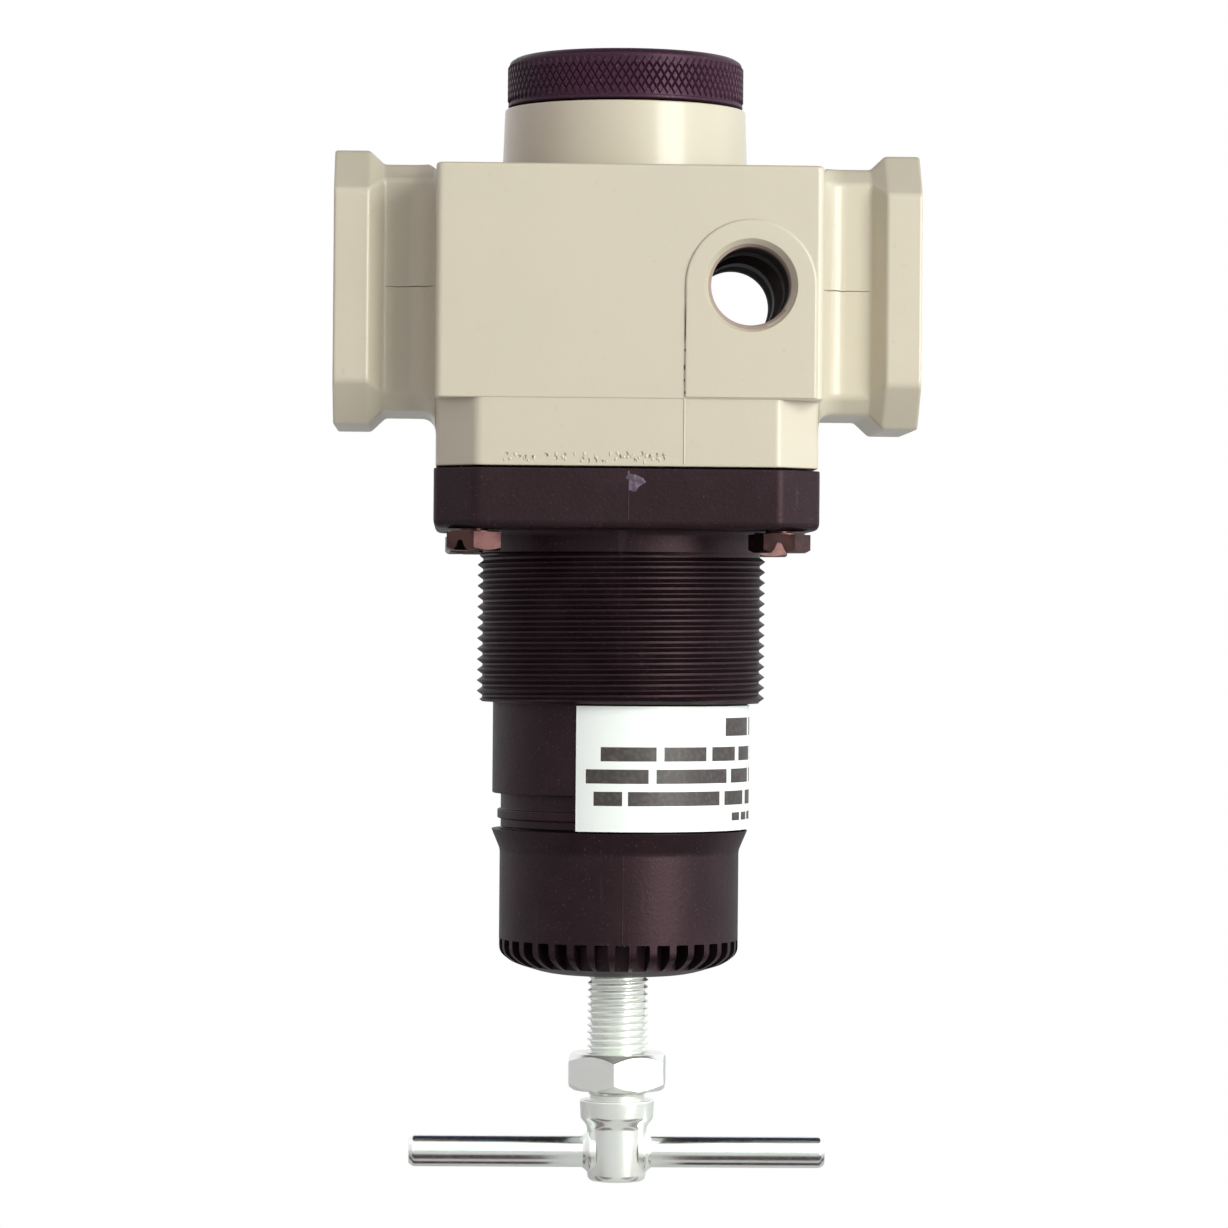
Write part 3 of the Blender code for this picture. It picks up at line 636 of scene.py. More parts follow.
def screw_places():
    """The four screw places, from the front left, anticlockwise seen from the plug end."""
    return [(sx * SCREW_PLACE, sy * SCREW_PLACE) for sx, sy in ((-1, -1), (1, -1), (1, 1), (-1, 1))]


def cut_screw_holes(target, low, high):
    for place in screw_places():
        cut(target, prism("screw_hole", circle(2.6, 32, place), low, high))


def port_arm(name, side):
    """One arm with its flange, and the cast fillets where it grows out of the block."""
    profile = eased([
        (FLANGE_FACE, FLANGE_HALF - 1), (FLANGE_FACE, FLANGE_HALF, 0.5),
        (FLANGE_BEVEL, FLANGE_HALF, 0.45), (ARM_END, ARM_HALF_Y, 0.45),
        (BLOCK_HALF + ARM_FILLET, ARM_HALF_Y),
    ])
    sections = []
    for x, half in profile:
        share = (half - ARM_HALF_Y) / (FLANGE_HALF - ARM_HALF_Y)
        height = ARM_HALF_Z + (FLANGE_HALF - ARM_HALF_Z) * share
        corner = ARM_CUT + (FLANGE_CUT - ARM_CUT) * share
        sections.append((x, half, height, height, corner))
    steps = 8
    for i in range(1, steps + 1):
        x = BLOCK_HALF + ARM_FILLET * (1 - math.sin(0.5 * math.pi * i / steps))
        near = (BLOCK_HALF + ARM_FILLET - x) / ARM_FILLET
        half = ARM_HALF_Y + ARM_FILLET * (1 - math.sqrt(1 - near * near))
        foot_near = max(0, (BLOCK_HALF + ARM_FOOT_FILLET - x) / ARM_FOOT_FILLET)
        foot = ARM_HALF_Z + ARM_FOOT_FILLET * (1 - math.sqrt(1 - min(foot_near, 1) ** 2))
        top = ARM_HALF_Z - 0.9 * max(0, near - 0.75) / 0.25
        sections.append((x, half, top, foot, ARM_CUT))
    root = sections[-1]
    sections.append((BLOCK_HALF - 1.5, root[1], BLOCK_TOP - 1.2, root[3], ARM_CUT))
    return lofted(name, [along("X", octagon(*shape, 0.7), side * x) for x, *shape in sections])


def gauge_pad(side):
    """The raised pad round a gauge port: an arch on top, straight sides below, soft edges."""
    outlines = []
    surface = BLOCK_HALF + PAD_RAISE
    profile = eased([
        (surface, PAD_R - 1.2), (surface, PAD_R - 0.12, 0.2), (BLOCK_HALF, PAD_R + 0.12),
        (BLOCK_HALF - 1, PAD_R + 0.2),
    ])
    for y, radius in profile:
        arch = arc(radius, np.linspace(0, math.pi, 41), (GAUGE_X, 0))
        foot = [(GAUGE_X - radius, BLOCK_STEP + 0.3), (GAUGE_X + radius, BLOCK_STEP + 0.3)]
        outlines.append(along("Y", arch + foot, side * y))
    return lofted("gauge_pad", outlines)


def port_cutters(radius, mouth_r, mouth_depth, crest, pitch, face, thread_end, end):
    """Two cutters along +Z for a countersunk, tapped port whose mouth is at the level face."""
    past = face + 1
    thread = (thread_end, past, radius, crest, pitch, 0.6)
    bore = [(0, end), (radius, end), (radius, thread_end)]
    port = threaded("port_cutter", bore, thread, [(radius, past), (0, past)], 64)
    slope = (mouth_r - radius) / mouth_depth
    mouth = eased([
        (0, face - mouth_depth - 0.3), (radius - 0.3 * slope, face - mouth_depth - 0.3),
        (mouth_r, face, 0.6), (mouth_r + 0.5 + slope * THROUGH, face + THROUGH), (0, face + THROUGH),
    ])
    return port, turned("mouth_cutter", mouth, 64)


def lay(obj, axis, side, offset=(0, 0, 0)):
    """Turns a cutter that was made along +Z to point along X or Y, and moves it."""
    quarter = side * math.pi / 2
    turn = Matrix.Rotation(quarter, 4, "Y") if axis == "X" else Matrix.Rotation(-quarter, 4, "X")
    obj.data.transform(Matrix.Translation(Vector(offset) * MM) @ turn)
    return obj


def add_ellipsoid(bm, place, size):
    bmesh.ops.create_icosphere(bm, subdivisions=2, radius=1, matrix=place @ Matrix.Diagonal((*size, 1)))


def casting_marks(seed, raised):
    """Small beads or pits along the lower front edge of the casting, denser to the right, as ellipsoids."""
    dice = random.Random(seed)
    bm = bmesh.new()
    x = dice.uniform(-18.5, -17)
    while x < 6:
        size = Vector((dice.uniform(0.16, 0.30), 0.2, dice.uniform(0.22, 0.48)))
        depth = -0.08 if raised else 0
        level = body_low.z + dice.uniform(0.6, 1.9)
        turn = Matrix.Rotation(dice.uniform(-0.4, 0.4), 4, "Y")
        place = Matrix.Translation((x, -LOWER_HALF - depth, level))
        add_ellipsoid(bm, place @ turn, size)
        x += dice.uniform(0.8, 2.8) if x < -3 else dice.uniform(0.75, 1.2)
    return solid("casting_marks", bm)


def edge_flaws():
    """Short nicks along the lower left edge of the front gauge pad, where the flow of metal met."""
    dice = random.Random(21)
    bm = bmesh.new()
    for level in (-7.4, -9.6, -12.1, -14, -15.8):
        size = Vector((dice.uniform(0.10, 0.16), 0.35, dice.uniform(0.25, 0.6)))
        aside = dice.uniform(-0.15, 0.1)
        place = Matrix.Translation((GAUGE_X - PAD_R + aside, -BLOCK_HALF, level))
        add_ellipsoid(bm, place, size)
    return solid("edge_flaws", bm)


def parting_groove(side_x, side_y):
    """The hairline left by the die's joint along an arm, as a thin wedge that follows the arm's fillet."""
    dice = random.Random(11 + side_x * 3 + side_y)
    sections = []
    steps = 16
    for i in range(steps + 1):
        x = ARM_END - 0.2 - (ARM_END - 0.2 - BLOCK_HALF - 0.05) * i / steps
        near = max(0, (BLOCK_HALF + ARM_FILLET - x) / ARM_FILLET)
        y = ARM_HALF_Y + ARM_FILLET * (1 - math.sqrt(1 - near * near))
        z = dice.uniform(-0.06, 0.06)
        width = 0.06 + 0.09 * i / steps * dice.uniform(0.6, 1.3)
        corners = ((y + 0.4, z + width * 2), (y - 0.22, z), (y + 0.4, z - width * 2))
        sections.append([(side_x * x, side_y * v, w) for v, w in corners])
    return lofted("parting_groove", sections)


def make_body():
    block = eased([
        (BLOCK_TOP, BLOCK_HALF - 1.5), (BLOCK_TOP, BLOCK_HALF, 0.6), (BLOCK_STEP, BLOCK_HALF, 0.3),
        (BLOCK_STEP, BLOCK_HALF - 1),
    ])
    body = lofted("body_casting", [along("Z", soft_square(half, BLOCK_EDGE), z) for z, half in block])
    lower = eased([
        (body_low.z, LOWER_HALF - 1), (body_low.z, LOWER_HALF, 0.25), (BLOCK_STEP + 1, LOWER_HALF),
    ])
    lower_outlines = [along("Z", octagon(half, half, half, CORNER_CUT, 0.9), z) for z, half in lower]
    neck = eased([
        (0, body_high.z), (NECK_TOP_R, body_high.z, 0.35), (NECK_BASE_R, BLOCK_TOP, 1.3),
        (NECK_BASE_R + 2.2, BLOCK_TOP - 0.12), (NECK_BASE_R + 2.2, BLOCK_TOP - 1), (0, BLOCK_TOP - 1),
    ])
    join(body, lofted("lower_block", lower_outlines), turned("neck", neck, 128))
    join(body, port_arm("inlet_arm", -1), port_arm("outlet_arm", 1), gauge_pad(-1), gauge_pad(1))
    weld_line = [(-0.16, 0.1), (-0.11, -0.07), (0, -0.13), (0.11, -0.07), (0.16, 0.1)]
    weld_x = GAUGE_X - PAD_R
    ridge = [(weld_x + u, v - LOWER_HALF) for u, v in weld_line]
    join(body, prism("weld_line", ridge, body_low.z + 0.4, BLOCK_STEP + 0.2))
    join(body, casting_marks(4, True), casting_marks(6, True))

    for side in (-1, 1):
        cut(body, *[lay(cutter, "X", side) for cutter in port_cutters(*MAIN_PORT)])
        cut(body, *[lay(cutter, "Y", side, (GAUGE_X, 0, 0)) for cutter in port_cutters(*GAUGE_PORT)])
    inlet = circle(INLET_PASSAGE_R, 32, (0, INLET_PASSAGE_Z))
    outlet = circle(OUTLET_PASSAGE_R, 48)
    link = circle(OUTLET_LINK_R, 32, (0, OUTLET_LINK_Z))
    chambers = [
        (0, body_high.z + THROUGH), (PLUG_BORE_R + 0.5, body_high.z + THROUGH),
        (PLUG_BORE_R + 0.5, body_high.z), (PLUG_BORE_R, body_high.z - 0.6),
        (PLUG_BORE_R, PLUG_BORE_FLOOR), (UPPER_CHAMBER_R, PLUG_BORE_FLOOR), (UPPER_CHAMBER_R, WEB_TOP),
        (WEB_HOLE_R, WEB_TOP), (WEB_HOLE_R, WEB_BOTTOM), (LOWER_CHAMBER_R, WEB_BOTTOM),
        (LOWER_CHAMBER_R, LOWER_FLOOR), (STEM_GUIDE_R, LOWER_FLOOR),
        (STEM_GUIDE_R, DIAPHRAGM_CHAMBER_TOP), (DIAPHRAGM_CHAMBER_R, DIAPHRAGM_CHAMBER_TOP),
        (DIAPHRAGM_CHAMBER_R, body_low.z - THROUGH), (0, body_low.z - THROUGH),
    ]
    sense = circle(SENSE_HOLE_R, 24, (SENSE_X, 0))
    cut(
        body,
        prism("inlet_passage", inlet, -PORT_BORE_END - 1, -UPPER_CHAMBER_R + 2, "X"),
        prism("outlet_passage", outlet, OUTLET_PASSAGE_START, PORT_BORE_END + 1, "X"),
        prism("outlet_link", link, LOWER_CHAMBER_R - 3, OUTLET_PASSAGE_START + 1, "X"),
        turned("chambers", chambers, 96),
        prism("sense_hole", sense, DIAPHRAGM_CHAMBER_TOP - 1, LOWER_FLOOR + 1),
    )
    cut_screw_holes(body, body_low.z - THROUGH, -13.8)
    for side_x in (-1, 1):
        for side_y in (-1, 1):
            cut(body, parting_groove(side_x, side_y))
    cut(body, casting_marks(9, False), edge_flaws())
    # Faces inside the ports, chambers and neck take the second finish, the painted shade of the bores.
    for face in body.data.polygons:
        corners = [body.data.vertices[i].co / MM for i in face.vertices]
        from_x = max(math.hypot(p.y, p.z) for p in corners)
        from_y = max(math.hypot(p.x - GAUGE_X, p.z) for p in corners)
        from_z = max(math.hypot(p.x, p.y) for p in corners)
        in_port = from_x < PORT_THREAD_R + 0.05 and max(abs(p.x) for p in corners) < FLANGE_FACE - 0.9
        in_gauge = from_y < GAUGE_THREAD_R + 0.05 and max(abs(p.y) for p in corners) < BLOCK_HALF - 0.3
        in_chamber = from_z < DIAPHRAGM_CHAMBER_R + 0.1 and corners[0].z < BLOCK_STEP + 1
        in_neck = from_z < PLUG_BORE_R + 0.1
        face.material_index = int(in_port or in_gauge or in_chamber or in_neck)
    dress(body, "housing", ["body"], "cast_paint", "cast_paint", "painted_bore_shade")


# --- valve plug ---


def add_knurl(bm, low, high, radius):
    """A band of flat-topped diamonds between crossing grooves. Its first and last ring are plain."""
    columns = 2 * KNURLS
    rows = KNURL_ROWS

    def place(row, column, r):
        return bm.verts.new(polar(r, 2 * math.pi * column / columns, low + (high - low) * row / rows))

    floor_r = radius - KNURL_DEPTH
    floor = {}
    for row in range(rows + 1):
        for column in range(columns):
            if (row + column) % 2 == 0 or row in (0, rows):
                floor[row, column] = place(row, column, floor_r)
    for row in range(rows + 1):
        for column in range(columns):
            if (row + column) % 2 == 0:
                continue
            left, right = floor[row, (column - 1) % columns], floor[row, (column + 1) % columns]
            if row in (0, rows):
                inner = floor[1 if row == 0 else rows - 1, column]
                middle = floor[row, column]
                bm.faces.new((left, middle, inner))
                bm.faces.new((middle, right, inner))
                continue
            corners = (left, floor[row - 1, column], right, floor[row + 1, column])
            share = KNURL_TOP_SHARE
            steps = ((0, -share), (-share, 0), (0, share), (share, 0))
            tops = [place(row + up, column + aside, radius) for up, aside in steps]
            bm.faces.new(tops)
            for i in range(4):
                j = (i + 1) % 4
                bm.faces.new((corners[i], corners[j], tops[j], tops[i]))


def make_plug():
    segments = 2 * KNURLS
    groove_r = PLUG_R - KNURL_DEPTH
    top = plug_high.z
    head = eased([
        (0, top - 0.9), (0.9, top - 0.1, 0.1), (1.2, top), (PLUG_R - 1.4, top, 0.9),
        (PLUG_R - 0.25, KNURL_TOP + 0.35, 0.35), (groove_r, KNURL_TOP),
    ])
    foot = eased([
        (groove_r, KNURL_BOTTOM), (PLUG_R - 0.1, KNURL_BOTTOM - 0.1, 0.05),
        (PLUG_R - 0.1, PLUG_SHOULDER + 0.15, 0.1), (PLUG_R - 0.4, PLUG_SHOULDER, 0.1),
        (14.2, PLUG_SHOULDER), (14.2, 27.4), (12, 27.4, 0.15), (12, 24.8, 0.15), (14.2, 24.8),
        (14.2, plug_low.z, 0.3), (7.2, plug_low.z), (7.2, 21), (4.3, 21), (4.3, 22.6), (6.4, 22.6),
        (6.4, 24.8), (4.3, 24.8), (4.3, 28), (0, 28),
    ])
    bm = bmesh.new()
    add_turned(bm, head, segments)
    add_knurl(bm, KNURL_BOTTOM, KNURL_TOP, PLUG_R)
    add_turned(bm, foot, segments)
    dress(solid("knurled_plug", bm), "housing", ["valve_plug"], "anodised")


# --- bonnet, cap, label, screws ---


def join_parting_lines(target, bead, half, low, high):
    for side in (-1, 1):
        join(target, prism("parting_line", [(u, side * (half - v)) for u, v in bead], low, high))


def make_bonnet():
    flange = eased([
        (bonnet_high.z, BONNET_HALF - 1), (bonnet_high.z, BONNET_HALF, 0.25),
        (FLANGE_BOTTOM, BONNET_HALF, 1.3), (FLANGE_BOTTOM, BONNET_HALF - 3),
    ], steps=6)
    outlines = [along("Z", octagon(half, half, half, CORNER_CUT, 0.9), z) for z, half in flange]
    bonnet = lofted("spring_bonnet", outlines)

    upper = eased([
        (0, FLANGE_BOTTOM + 1), (COLLAR_R + 0.6, FLANGE_BOTTOM + 1),
        (COLLAR_R + 0.6, FLANGE_BOTTOM + 0.2), (COLLAR_R, FLANGE_BOTTOM - 0.5, 0.4),
        (COLLAR_R, THREAD_TOP + 0.1), (THREAD_ROOT_R, THREAD_TOP),
    ])
    lower = eased([
        (THREAD_ROOT_R, THREAD_BOTTOM), (BARREL_R, THREAD_BOTTOM, 0.3), (BARREL_R, BARREL_BOTTOM, 0.25),
        (GROOVE_R, BARREL_BOTTOM, 0.2), (GROOVE_R, BEAD_TOP, 0.2), (BEAD_R, BEAD_TOP, 0.2),
        (BEAD_R, BEAD_BOTTOM, 0.2), (GROOVE_R, BEAD_BOTTOM, 0.2), (GROOVE_R, GROOVE_BOTTOM, 0.15),
        (TAIL_R, GROOVE_BOTTOM, 0.2), (TAIL_R, BONNET_END, 0.4), (0, BONNET_END),
    ])
    thread = (THREAD_BOTTOM, THREAD_TOP, THREAD_ROOT_R, THREAD_R, THREAD_PITCH, 0.5)
    join(bonnet, threaded("bonnet_barrel", upper, thread, lower, 128))
    bead = [(-0.12, 0.1), (-0.08, -0.05), (0, -0.08), (0.08, -0.05), (0.12, 0.1)]
    join_parting_lines(bonnet, bead, BONNET_HALF, FLANGE_BOTTOM + 1.4, bonnet_high.z - 0.4)
    outlines = []
    for depth, share in ((-0.3, 1), (0.03, 1), (0.08, 0.7)):
        outlines.append([])
        for i in range(14):
            a = 2 * math.pi * i / 14
            radius = (1.25 + 0.3 * math.sin(3 * a + 1) + 0.15 * math.cos(5 * a)) * share
            u, v = polar(radius, a)
            outlines[-1].append((GATE_X + u, -BONNET_HALF - depth, GATE_Z + v))
    join(bonnet, lofted("gate_mark", outlines))

    recess_floor = -28.4
    bore = [
        (0, bonnet_high.z + THROUGH), (25.8, bonnet_high.z + THROUGH), (25.8, recess_floor),
        (18.5, recess_floor), (18.5, recess_floor - 4), (16, recess_floor - 8), (16, -79.3),
        (13.5, -79.3), (13.5, -88), (0, -88),
    ]
    cut(
        bonnet,
        turned("bonnet_bore", bore, 96),
        prism("insert_pocket", hexagon(16.5), -94.5, -87),
        prism("screw_hole", circle(5.3, 48), BONNET_END - THROUGH, -93.5),
    )
    cut_screw_holes(bonnet, FLANGE_BOTTOM - THROUGH, bonnet_high.z + THROUGH)
    for face in bonnet.data.polygons:
        spot = face.center / MM
        near_gate = math.hypot(spot.x - GATE_X, spot.z - GATE_Z) < 1.7
        face.material_index = int(near_gate and spot.y < -BONNET_HALF - 0.01)
    dress(bonnet, "housing", ["bonnet"], "black_nylon", "black_nylon", "worn_nylon")


def make_cap():
    outline = eased([
        (18.2, cap_high.z, 0.15), (CAP_RIM_R, cap_high.z, 0.15), (CAP_R, CAP_RIM_END, 0.5),
        (CAP_R, -99.3, 0.9), (16.2, -100.9, 1.2), (11, -102.5, 2), (5.3, cap_low.z, 0.2),
        (5.3, cap_low.z + 2.6, 0.2), (15.2, BONNET_END - 1.6, 0.3), (16.4, BONNET_END - 0.3),
        (16.4, CAP_RIM_END + 1),
    ], closed=True)
    cap = turned("slotted_cap", outline, 4 * CAP_SLOTS, closed=True)
    bm = bmesh.new()
    soft = 0.25
    height = 9
    half = CAP_SLOT_WIDTH / 2
    profile = eased([
        (-half, CAP_SLOT_TOP, soft), (half, CAP_SLOT_TOP, soft), (half, CAP_SLOT_TOP - height),
        (-half, CAP_SLOT_TOP - height),
    ], closed=True)
    for i in range(CAP_SLOTS):
        angle = 2 * math.pi * i / CAP_SLOTS
        out = Vector(polar(1, angle, 0))
        beside = Vector((-math.sin(angle), math.cos(angle), 0))
        sections = []
        for radius in (CAP_SLOT_FLOOR_R, CAP_R + 3):
            sections.append([tuple(out * radius + beside * u + Vector((0, 0, z))) for u, z in profile])
        add_loft(bm, sections)
    cut(cap, solid("cap_slots", bm))
    bead = [(-0.10, 0.1), (-0.06, -0.03), (0, -0.06), (0.06, -0.03), (0.10, 0.1)]
    join_parting_lines(cap, bead, CAP_R, CAP_SLOT_TOP + 0.1, CAP_RIM_END - 0.3)
    dress(cap, "housing", ["bonnet_cap"], "black_nylon")


# Each row of the label: its middle below the label's top edge, its height, and its bars in degrees from the
# label's left edge.
LABEL_ROWS = (
    (3.1, 2.7, ((73, 97), (101, 112))),
    (7.1, 2.1, ((11, 35.5), (39, 60.5), (64, 81), (84.5, 101), (104.5, 127), (130.5, 146))),
    (10.4, 2.1, ((4.5, 32), (35.5, 74), (77.5, 98), (101.5, 121), (124.5, 152))),
    (13.7, 2.1, ((8, 20.5), (23, 69), (72.5, 90), (93.5, 118), (121.5, 144))),
    (16.5, 1.2, ((78.5, 86), (88, 95), (97, 109))),
)


def make_label():
    """A thin curved strip. Its outer side is split along the bars, whose faces carry the ink."""
    angles = set(np.linspace(0, LABEL_SWEEP_DEG, 58).round(3))
    levels = {0, label_high.z - label_low.z}
    for middle, height, bars in LABEL_ROWS:
        levels |= {middle - height / 2, middle + height / 2}
        angles |= {end for bar in bars for end in bar}
    angles = sorted(angles)
    levels = sorted(levels)

    def ink_at(angle, level):
        for middle, height, bars in LABEL_ROWS:
            if abs(level - middle) < height / 2:
                return any(start < angle < end for start, end in bars)
        return False

    bm = bmesh.new()
    sides = []
    for radius in (LABEL_R, LABEL_R + LABEL_THICK):
        turns = [math.radians(LABEL_START_DEG + angle) for angle in angles]
        sides.append([[bm.verts.new(polar(radius, a, label_high.z - v)) for a in turns] for v in levels])
    for side, grid in enumerate(sides):
        for i in range(len(levels) - 1):
            for j in range(len(angles) - 1):
                face = bm.faces.new((grid[i][j], grid[i][j + 1], grid[i + 1][j + 1], grid[i + 1][j]))
                middle_angle = (angles[j] + angles[j + 1]) / 2
                middle_level = (levels[i] + levels[i + 1]) / 2
                face.material_index = int(side == 1 and ink_at(middle_angle, middle_level))
    inner, outer = sides
    for i in (0, -1):
        for j in range(len(angles) - 1):
            bm.faces.new((inner[i][j], inner[i][j + 1], outer[i][j + 1], outer[i][j]))
    for j in (0, -1):
        for i in range(len(levels) - 1):
            bm.faces.new((inner[i][j], inner[i + 1][j], outer[i + 1][j], outer[i][j]))
    dress(solid("blank_label", bm), "housing", ["label"], "vinyl", "vinyl", "label_ink")


def chamfered_hex(name, flats, turn_deg, low, high, ends, share=0.97, slope_deg=30):
    """A hexagon whose corners are turned off at its low end, its high end or both."""
    piece = prism(name, hexagon(flats, turn_deg), low, high)
    corner_r = flats / math.sqrt(3) + 0.5
    face_r = flats / 2 * share
    drop = (corner_r - face_r) * math.tan(math.radians(slope_deg))
    if "high" in ends:
        outline = [(0, high), (face_r, high), (corner_r, high - drop)]
    else:
        outline = [(0, high + THROUGH), (corner_r, high + THROUGH)]
    if "low" in ends:
        outline += [(corner_r, low + drop), (face_r, low), (0, low)]
    else:
        outline += [(corner_r, low - THROUGH), (0, low - THROUGH)]
    combine(piece, turned("chamfers", outline, 96), "INTERSECT")
    return piece


def make_bonnet_screws():
    for (x, y), (number, turn_deg) in zip(screw_places(), HEAD_TURNS_DEG.items()):
        low, high = mm_box(f"bonnet_screw_{number}")
        head_top = low.z + HEAD_HEIGHT
        head = chamfered_hex(f"slotted_screw_{number}", HEAD_FLATS, 0, low.z, head_top - 0.2, ["low"])
        shank = eased([
            (0, head_top), (3.75, head_top, 0.05), (3.75, head_top - 0.4), (0, head_top - 0.4),
        ])
        join(head, turned("washer_face", shank, 64))
        neck = [(0, head_top - 0.5), (2.05, head_top - 0.5), (2.05, head_top + 1)]
        thread = (head_top + 1, high.z - 0.6, 2.05, 2.35, 0.794, 0.3)
        tip = [(2.05, high.z - 0.6), (1.6, high.z), (0, high.z)]
        join(head, threaded("screw_shank", neck, thread, tip, 32))
        half = HEAD_SLOT_WIDTH / 2
        slot_top = low.z + HEAD_SLOT_DEPTH
        slot = eased([
            (half + 0.5, low.z - 1), (half + 0.45, low.z), (half - 0.05, low.z + 0.6, 0.35),
            (half - 0.35, slot_top, 0.25), (0.35 - half, slot_top, 0.25),
            (0.05 - half, low.z + 0.6, 0.35), (-half - 0.45, low.z), (-half - 0.5, low.z - 1),
        ])
        outlines = [[(u, side * HEAD_FLATS, z) for u, z in slot] for side in (-1, 1)]
        cut(head, lofted("slot", outlines))
        turn = Matrix.Rotation(math.radians(turn_deg), 4, "Z")
        head.data.transform(Matrix.Translation((x * MM, y * MM, 0)) @ turn)
        dress(head, "housing", [f"bonnet_screw_{number}"], "bronze_plate")


# --- handle ---


def make_adjusting_screw():
    tip = eased([(0, screw_high.z), (3.4, screw_high.z - 0.9, 1.6), (SCREW_ROOT_R, screw_high.z - 4)])
    hub = eased([
        (SCREW_ROOT_R, SCREW_THREAD_END), (SCREW_ROOT_R, HUB_TOP + 0.1), (HUB_COLLAR_R, HUB_TOP, 0.25),
        (HUB_COLLAR_R - 0.1, -124.5, 0.4), (SHANK_R, -125.7, 0.5), (SHANK_R - 0.05, -129.6),
        (SHANK_R - 0.1, screw_low.z, 1), (0, screw_low.z),
    ])
    thread = (SCREW_THREAD_END, screw_high.z - 4, SCREW_ROOT_R, SCREW_R, SCREW_PITCH, 0.4)
    screw = threaded("adjusting_screw_shaft", tip, thread, hub, 64)
    swage = eased([
        (0, 5.15), (bar_r + 0.1, 5.15), (bar_r + 0.35, 4.75, 0.2), (bar_r + 1, 4.2, 0.3),
        (bar_r + 1.1, 3.2), (0, 3.2),
    ])
    for side in (-1, 1):
        join(screw, lay(turned("swage", swage, 48), "X", side, (0, 0, bar_z)))
    hole = circle(bar_r + 0.05, 48, (0, bar_z))
    cut(screw, prism("bar_hole", hole, -9, 9, "X"))
    dress(screw, "handle", ["adjusting_screw"], "zinc_plate")


def make_t_bar():
    half = bar_high.x
    outline = eased([
        (0, half), (bar_r - 0.5, half, 0.1), (bar_r, half - 0.7, 0.25), (bar_r, 0.7 - half, 0.25),
        (bar_r - 0.5, -half, 0.1), (0, -half),
    ])
    bar = lay(turned("cross_bar", outline, 48), "X", 1, (0, 0, bar_z))
    dress(bar, "handle", ["t_bar"], "zinc_plate", "bright_zinc_plate")


def make_lock_nut():
    low, high = nut_low.z, nut_high.z
    nut = chamfered_hex("jam_nut", NUT_FLATS, NUT_TURN_DEG, low, high, ("low", "high"), 0.95, 38)
    entry = [(0, low - 1), (5.4, low - 1), (5.4, low), (4.75, low + 0.65)]
    thread = (low + 0.65, high - 0.65, 4.75, 5.15, SCREW_PITCH, 0.4)
    exit_end = [(4.75, high - 0.65), (5.4, high), (5.4, high + 1), (0, high + 1)]
    cut(nut, threaded("nut_thread", entry, thread, exit_end, 64))
    dress(nut, "jam_nut", ["lock_nut"], "zinc_plate")


# --- springs, seals and diaphragm ---


def make_diaphragm():
    """Twelve sectors between the clamped rim and the plate that moves the middle, drawn at rest and given
    no body.
    """
    low, high = mm_box("diaphragm")
    radii = (HUB_HOLE_R, 11, *np.linspace(PLATE_R, 20, 7), high.x)
    profile = [(r, low.z) for r in radii] + [(r, high.z) for r in reversed(radii)]
    width = math.radians(30)
    for i in range(12):
        angles = np.linspace(i * width, (i + 1) * width, 9)
        sections = [[polar(r, angle, z) for r, z in profile] for angle in angles]
        sector = lofted(f"diaphragm_sector_{i + 1}", sections)
        dress(sector, None, ["diaphragm"], "rubber")
        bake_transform(sector)


def coil(name, low, high, radius, wire, turns, points_per_turn, sides):
    """A compression spring with closed end turns, as a tube round a helix."""
    lowest, highest = low + wire / 2, high - wire / 2
    end_rise = wire * 1.05
    open_rise = (highest - lowest - 2 * end_rise) / (turns - 2)
    sections = []
    for i in range(turns * points_per_turn + 1):
        turn = i / points_per_turn
        ends = min(turn, 1) + max(turn - (turns - 1), 0)
        z = lowest + end_rise * ends + open_rise * (turn - ends)
        out = Vector(polar(1, 2 * math.pi * turn, 0))
        centre = out * radius + Vector((0, 0, z))
        sections.append([])
        for k in range(sides):
            a = 2 * math.pi * k / sides
            spot = centre + (out * math.cos(a) + Vector((0, 0, math.sin(a)))) * wire / 2
            sections[-1].append(spot)
    return lofted(name, sections)


def make_spring(name, node, joint_name, *shape):
    low, high = mm_box(node)
    spring = coil(name, low.z, high.z, *shape)
    dress(spring, "housing", [node], "spring_steel")
    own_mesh(spring)


def o_ring(name, node, radius, section):
    low, high = mm_box(node)
    middle = (low.z + high.z) / 2
    outline = [(radius + u, middle + v) for u, v in circle(section, 20)]
    dress(turned(name, outline, 96, closed=True), "housing", [node], "rubber")


# --- studio ---

CAMERA_DISTANCE = 0.758
CAMERA_AZIMUTH_DEG = -1.85
CAMERA_HEIGHT = -0.0492
CAMERA_ROLL_DEG = 0.49
CAMERA_LENS = 146.58
CAMERA_SHIFT = (-0.0057, 0.0057)
TENT_FRONT_LEFT = (0.36, 0.27, 0.29)
TENT_FRONT_RIGHT = (0.48, 0.55, 0.55)
SHINE_FRONT_LEFT = (1.12, 1.22, 1.18)
SHINE_FRONT_RIGHT = (1.35, 1.45, 1.38)
TENT_LEFT = (0.92, 0.86, 0.90)
TENT_RIGHT = (1.25, 1.45, 1.45)
SHINE_RIGHT = (2.9, 2.6, 2.8)
TENT_BACK = (1, 1, 1)
TENT_ROOF = (0.02, 0.025, 0.06)
TENT_SLIT = (0.10, 0.10, 0.10)
KEY_PLACE = (0.80, -0.89, 0.12)
KEY_TARGET = (0, 0, -0.05)
KEY_SIZE = (0.55, 1.1)
KEY_POWER = 18
KEY_COLOUR = (1, 0.995, 0.94)


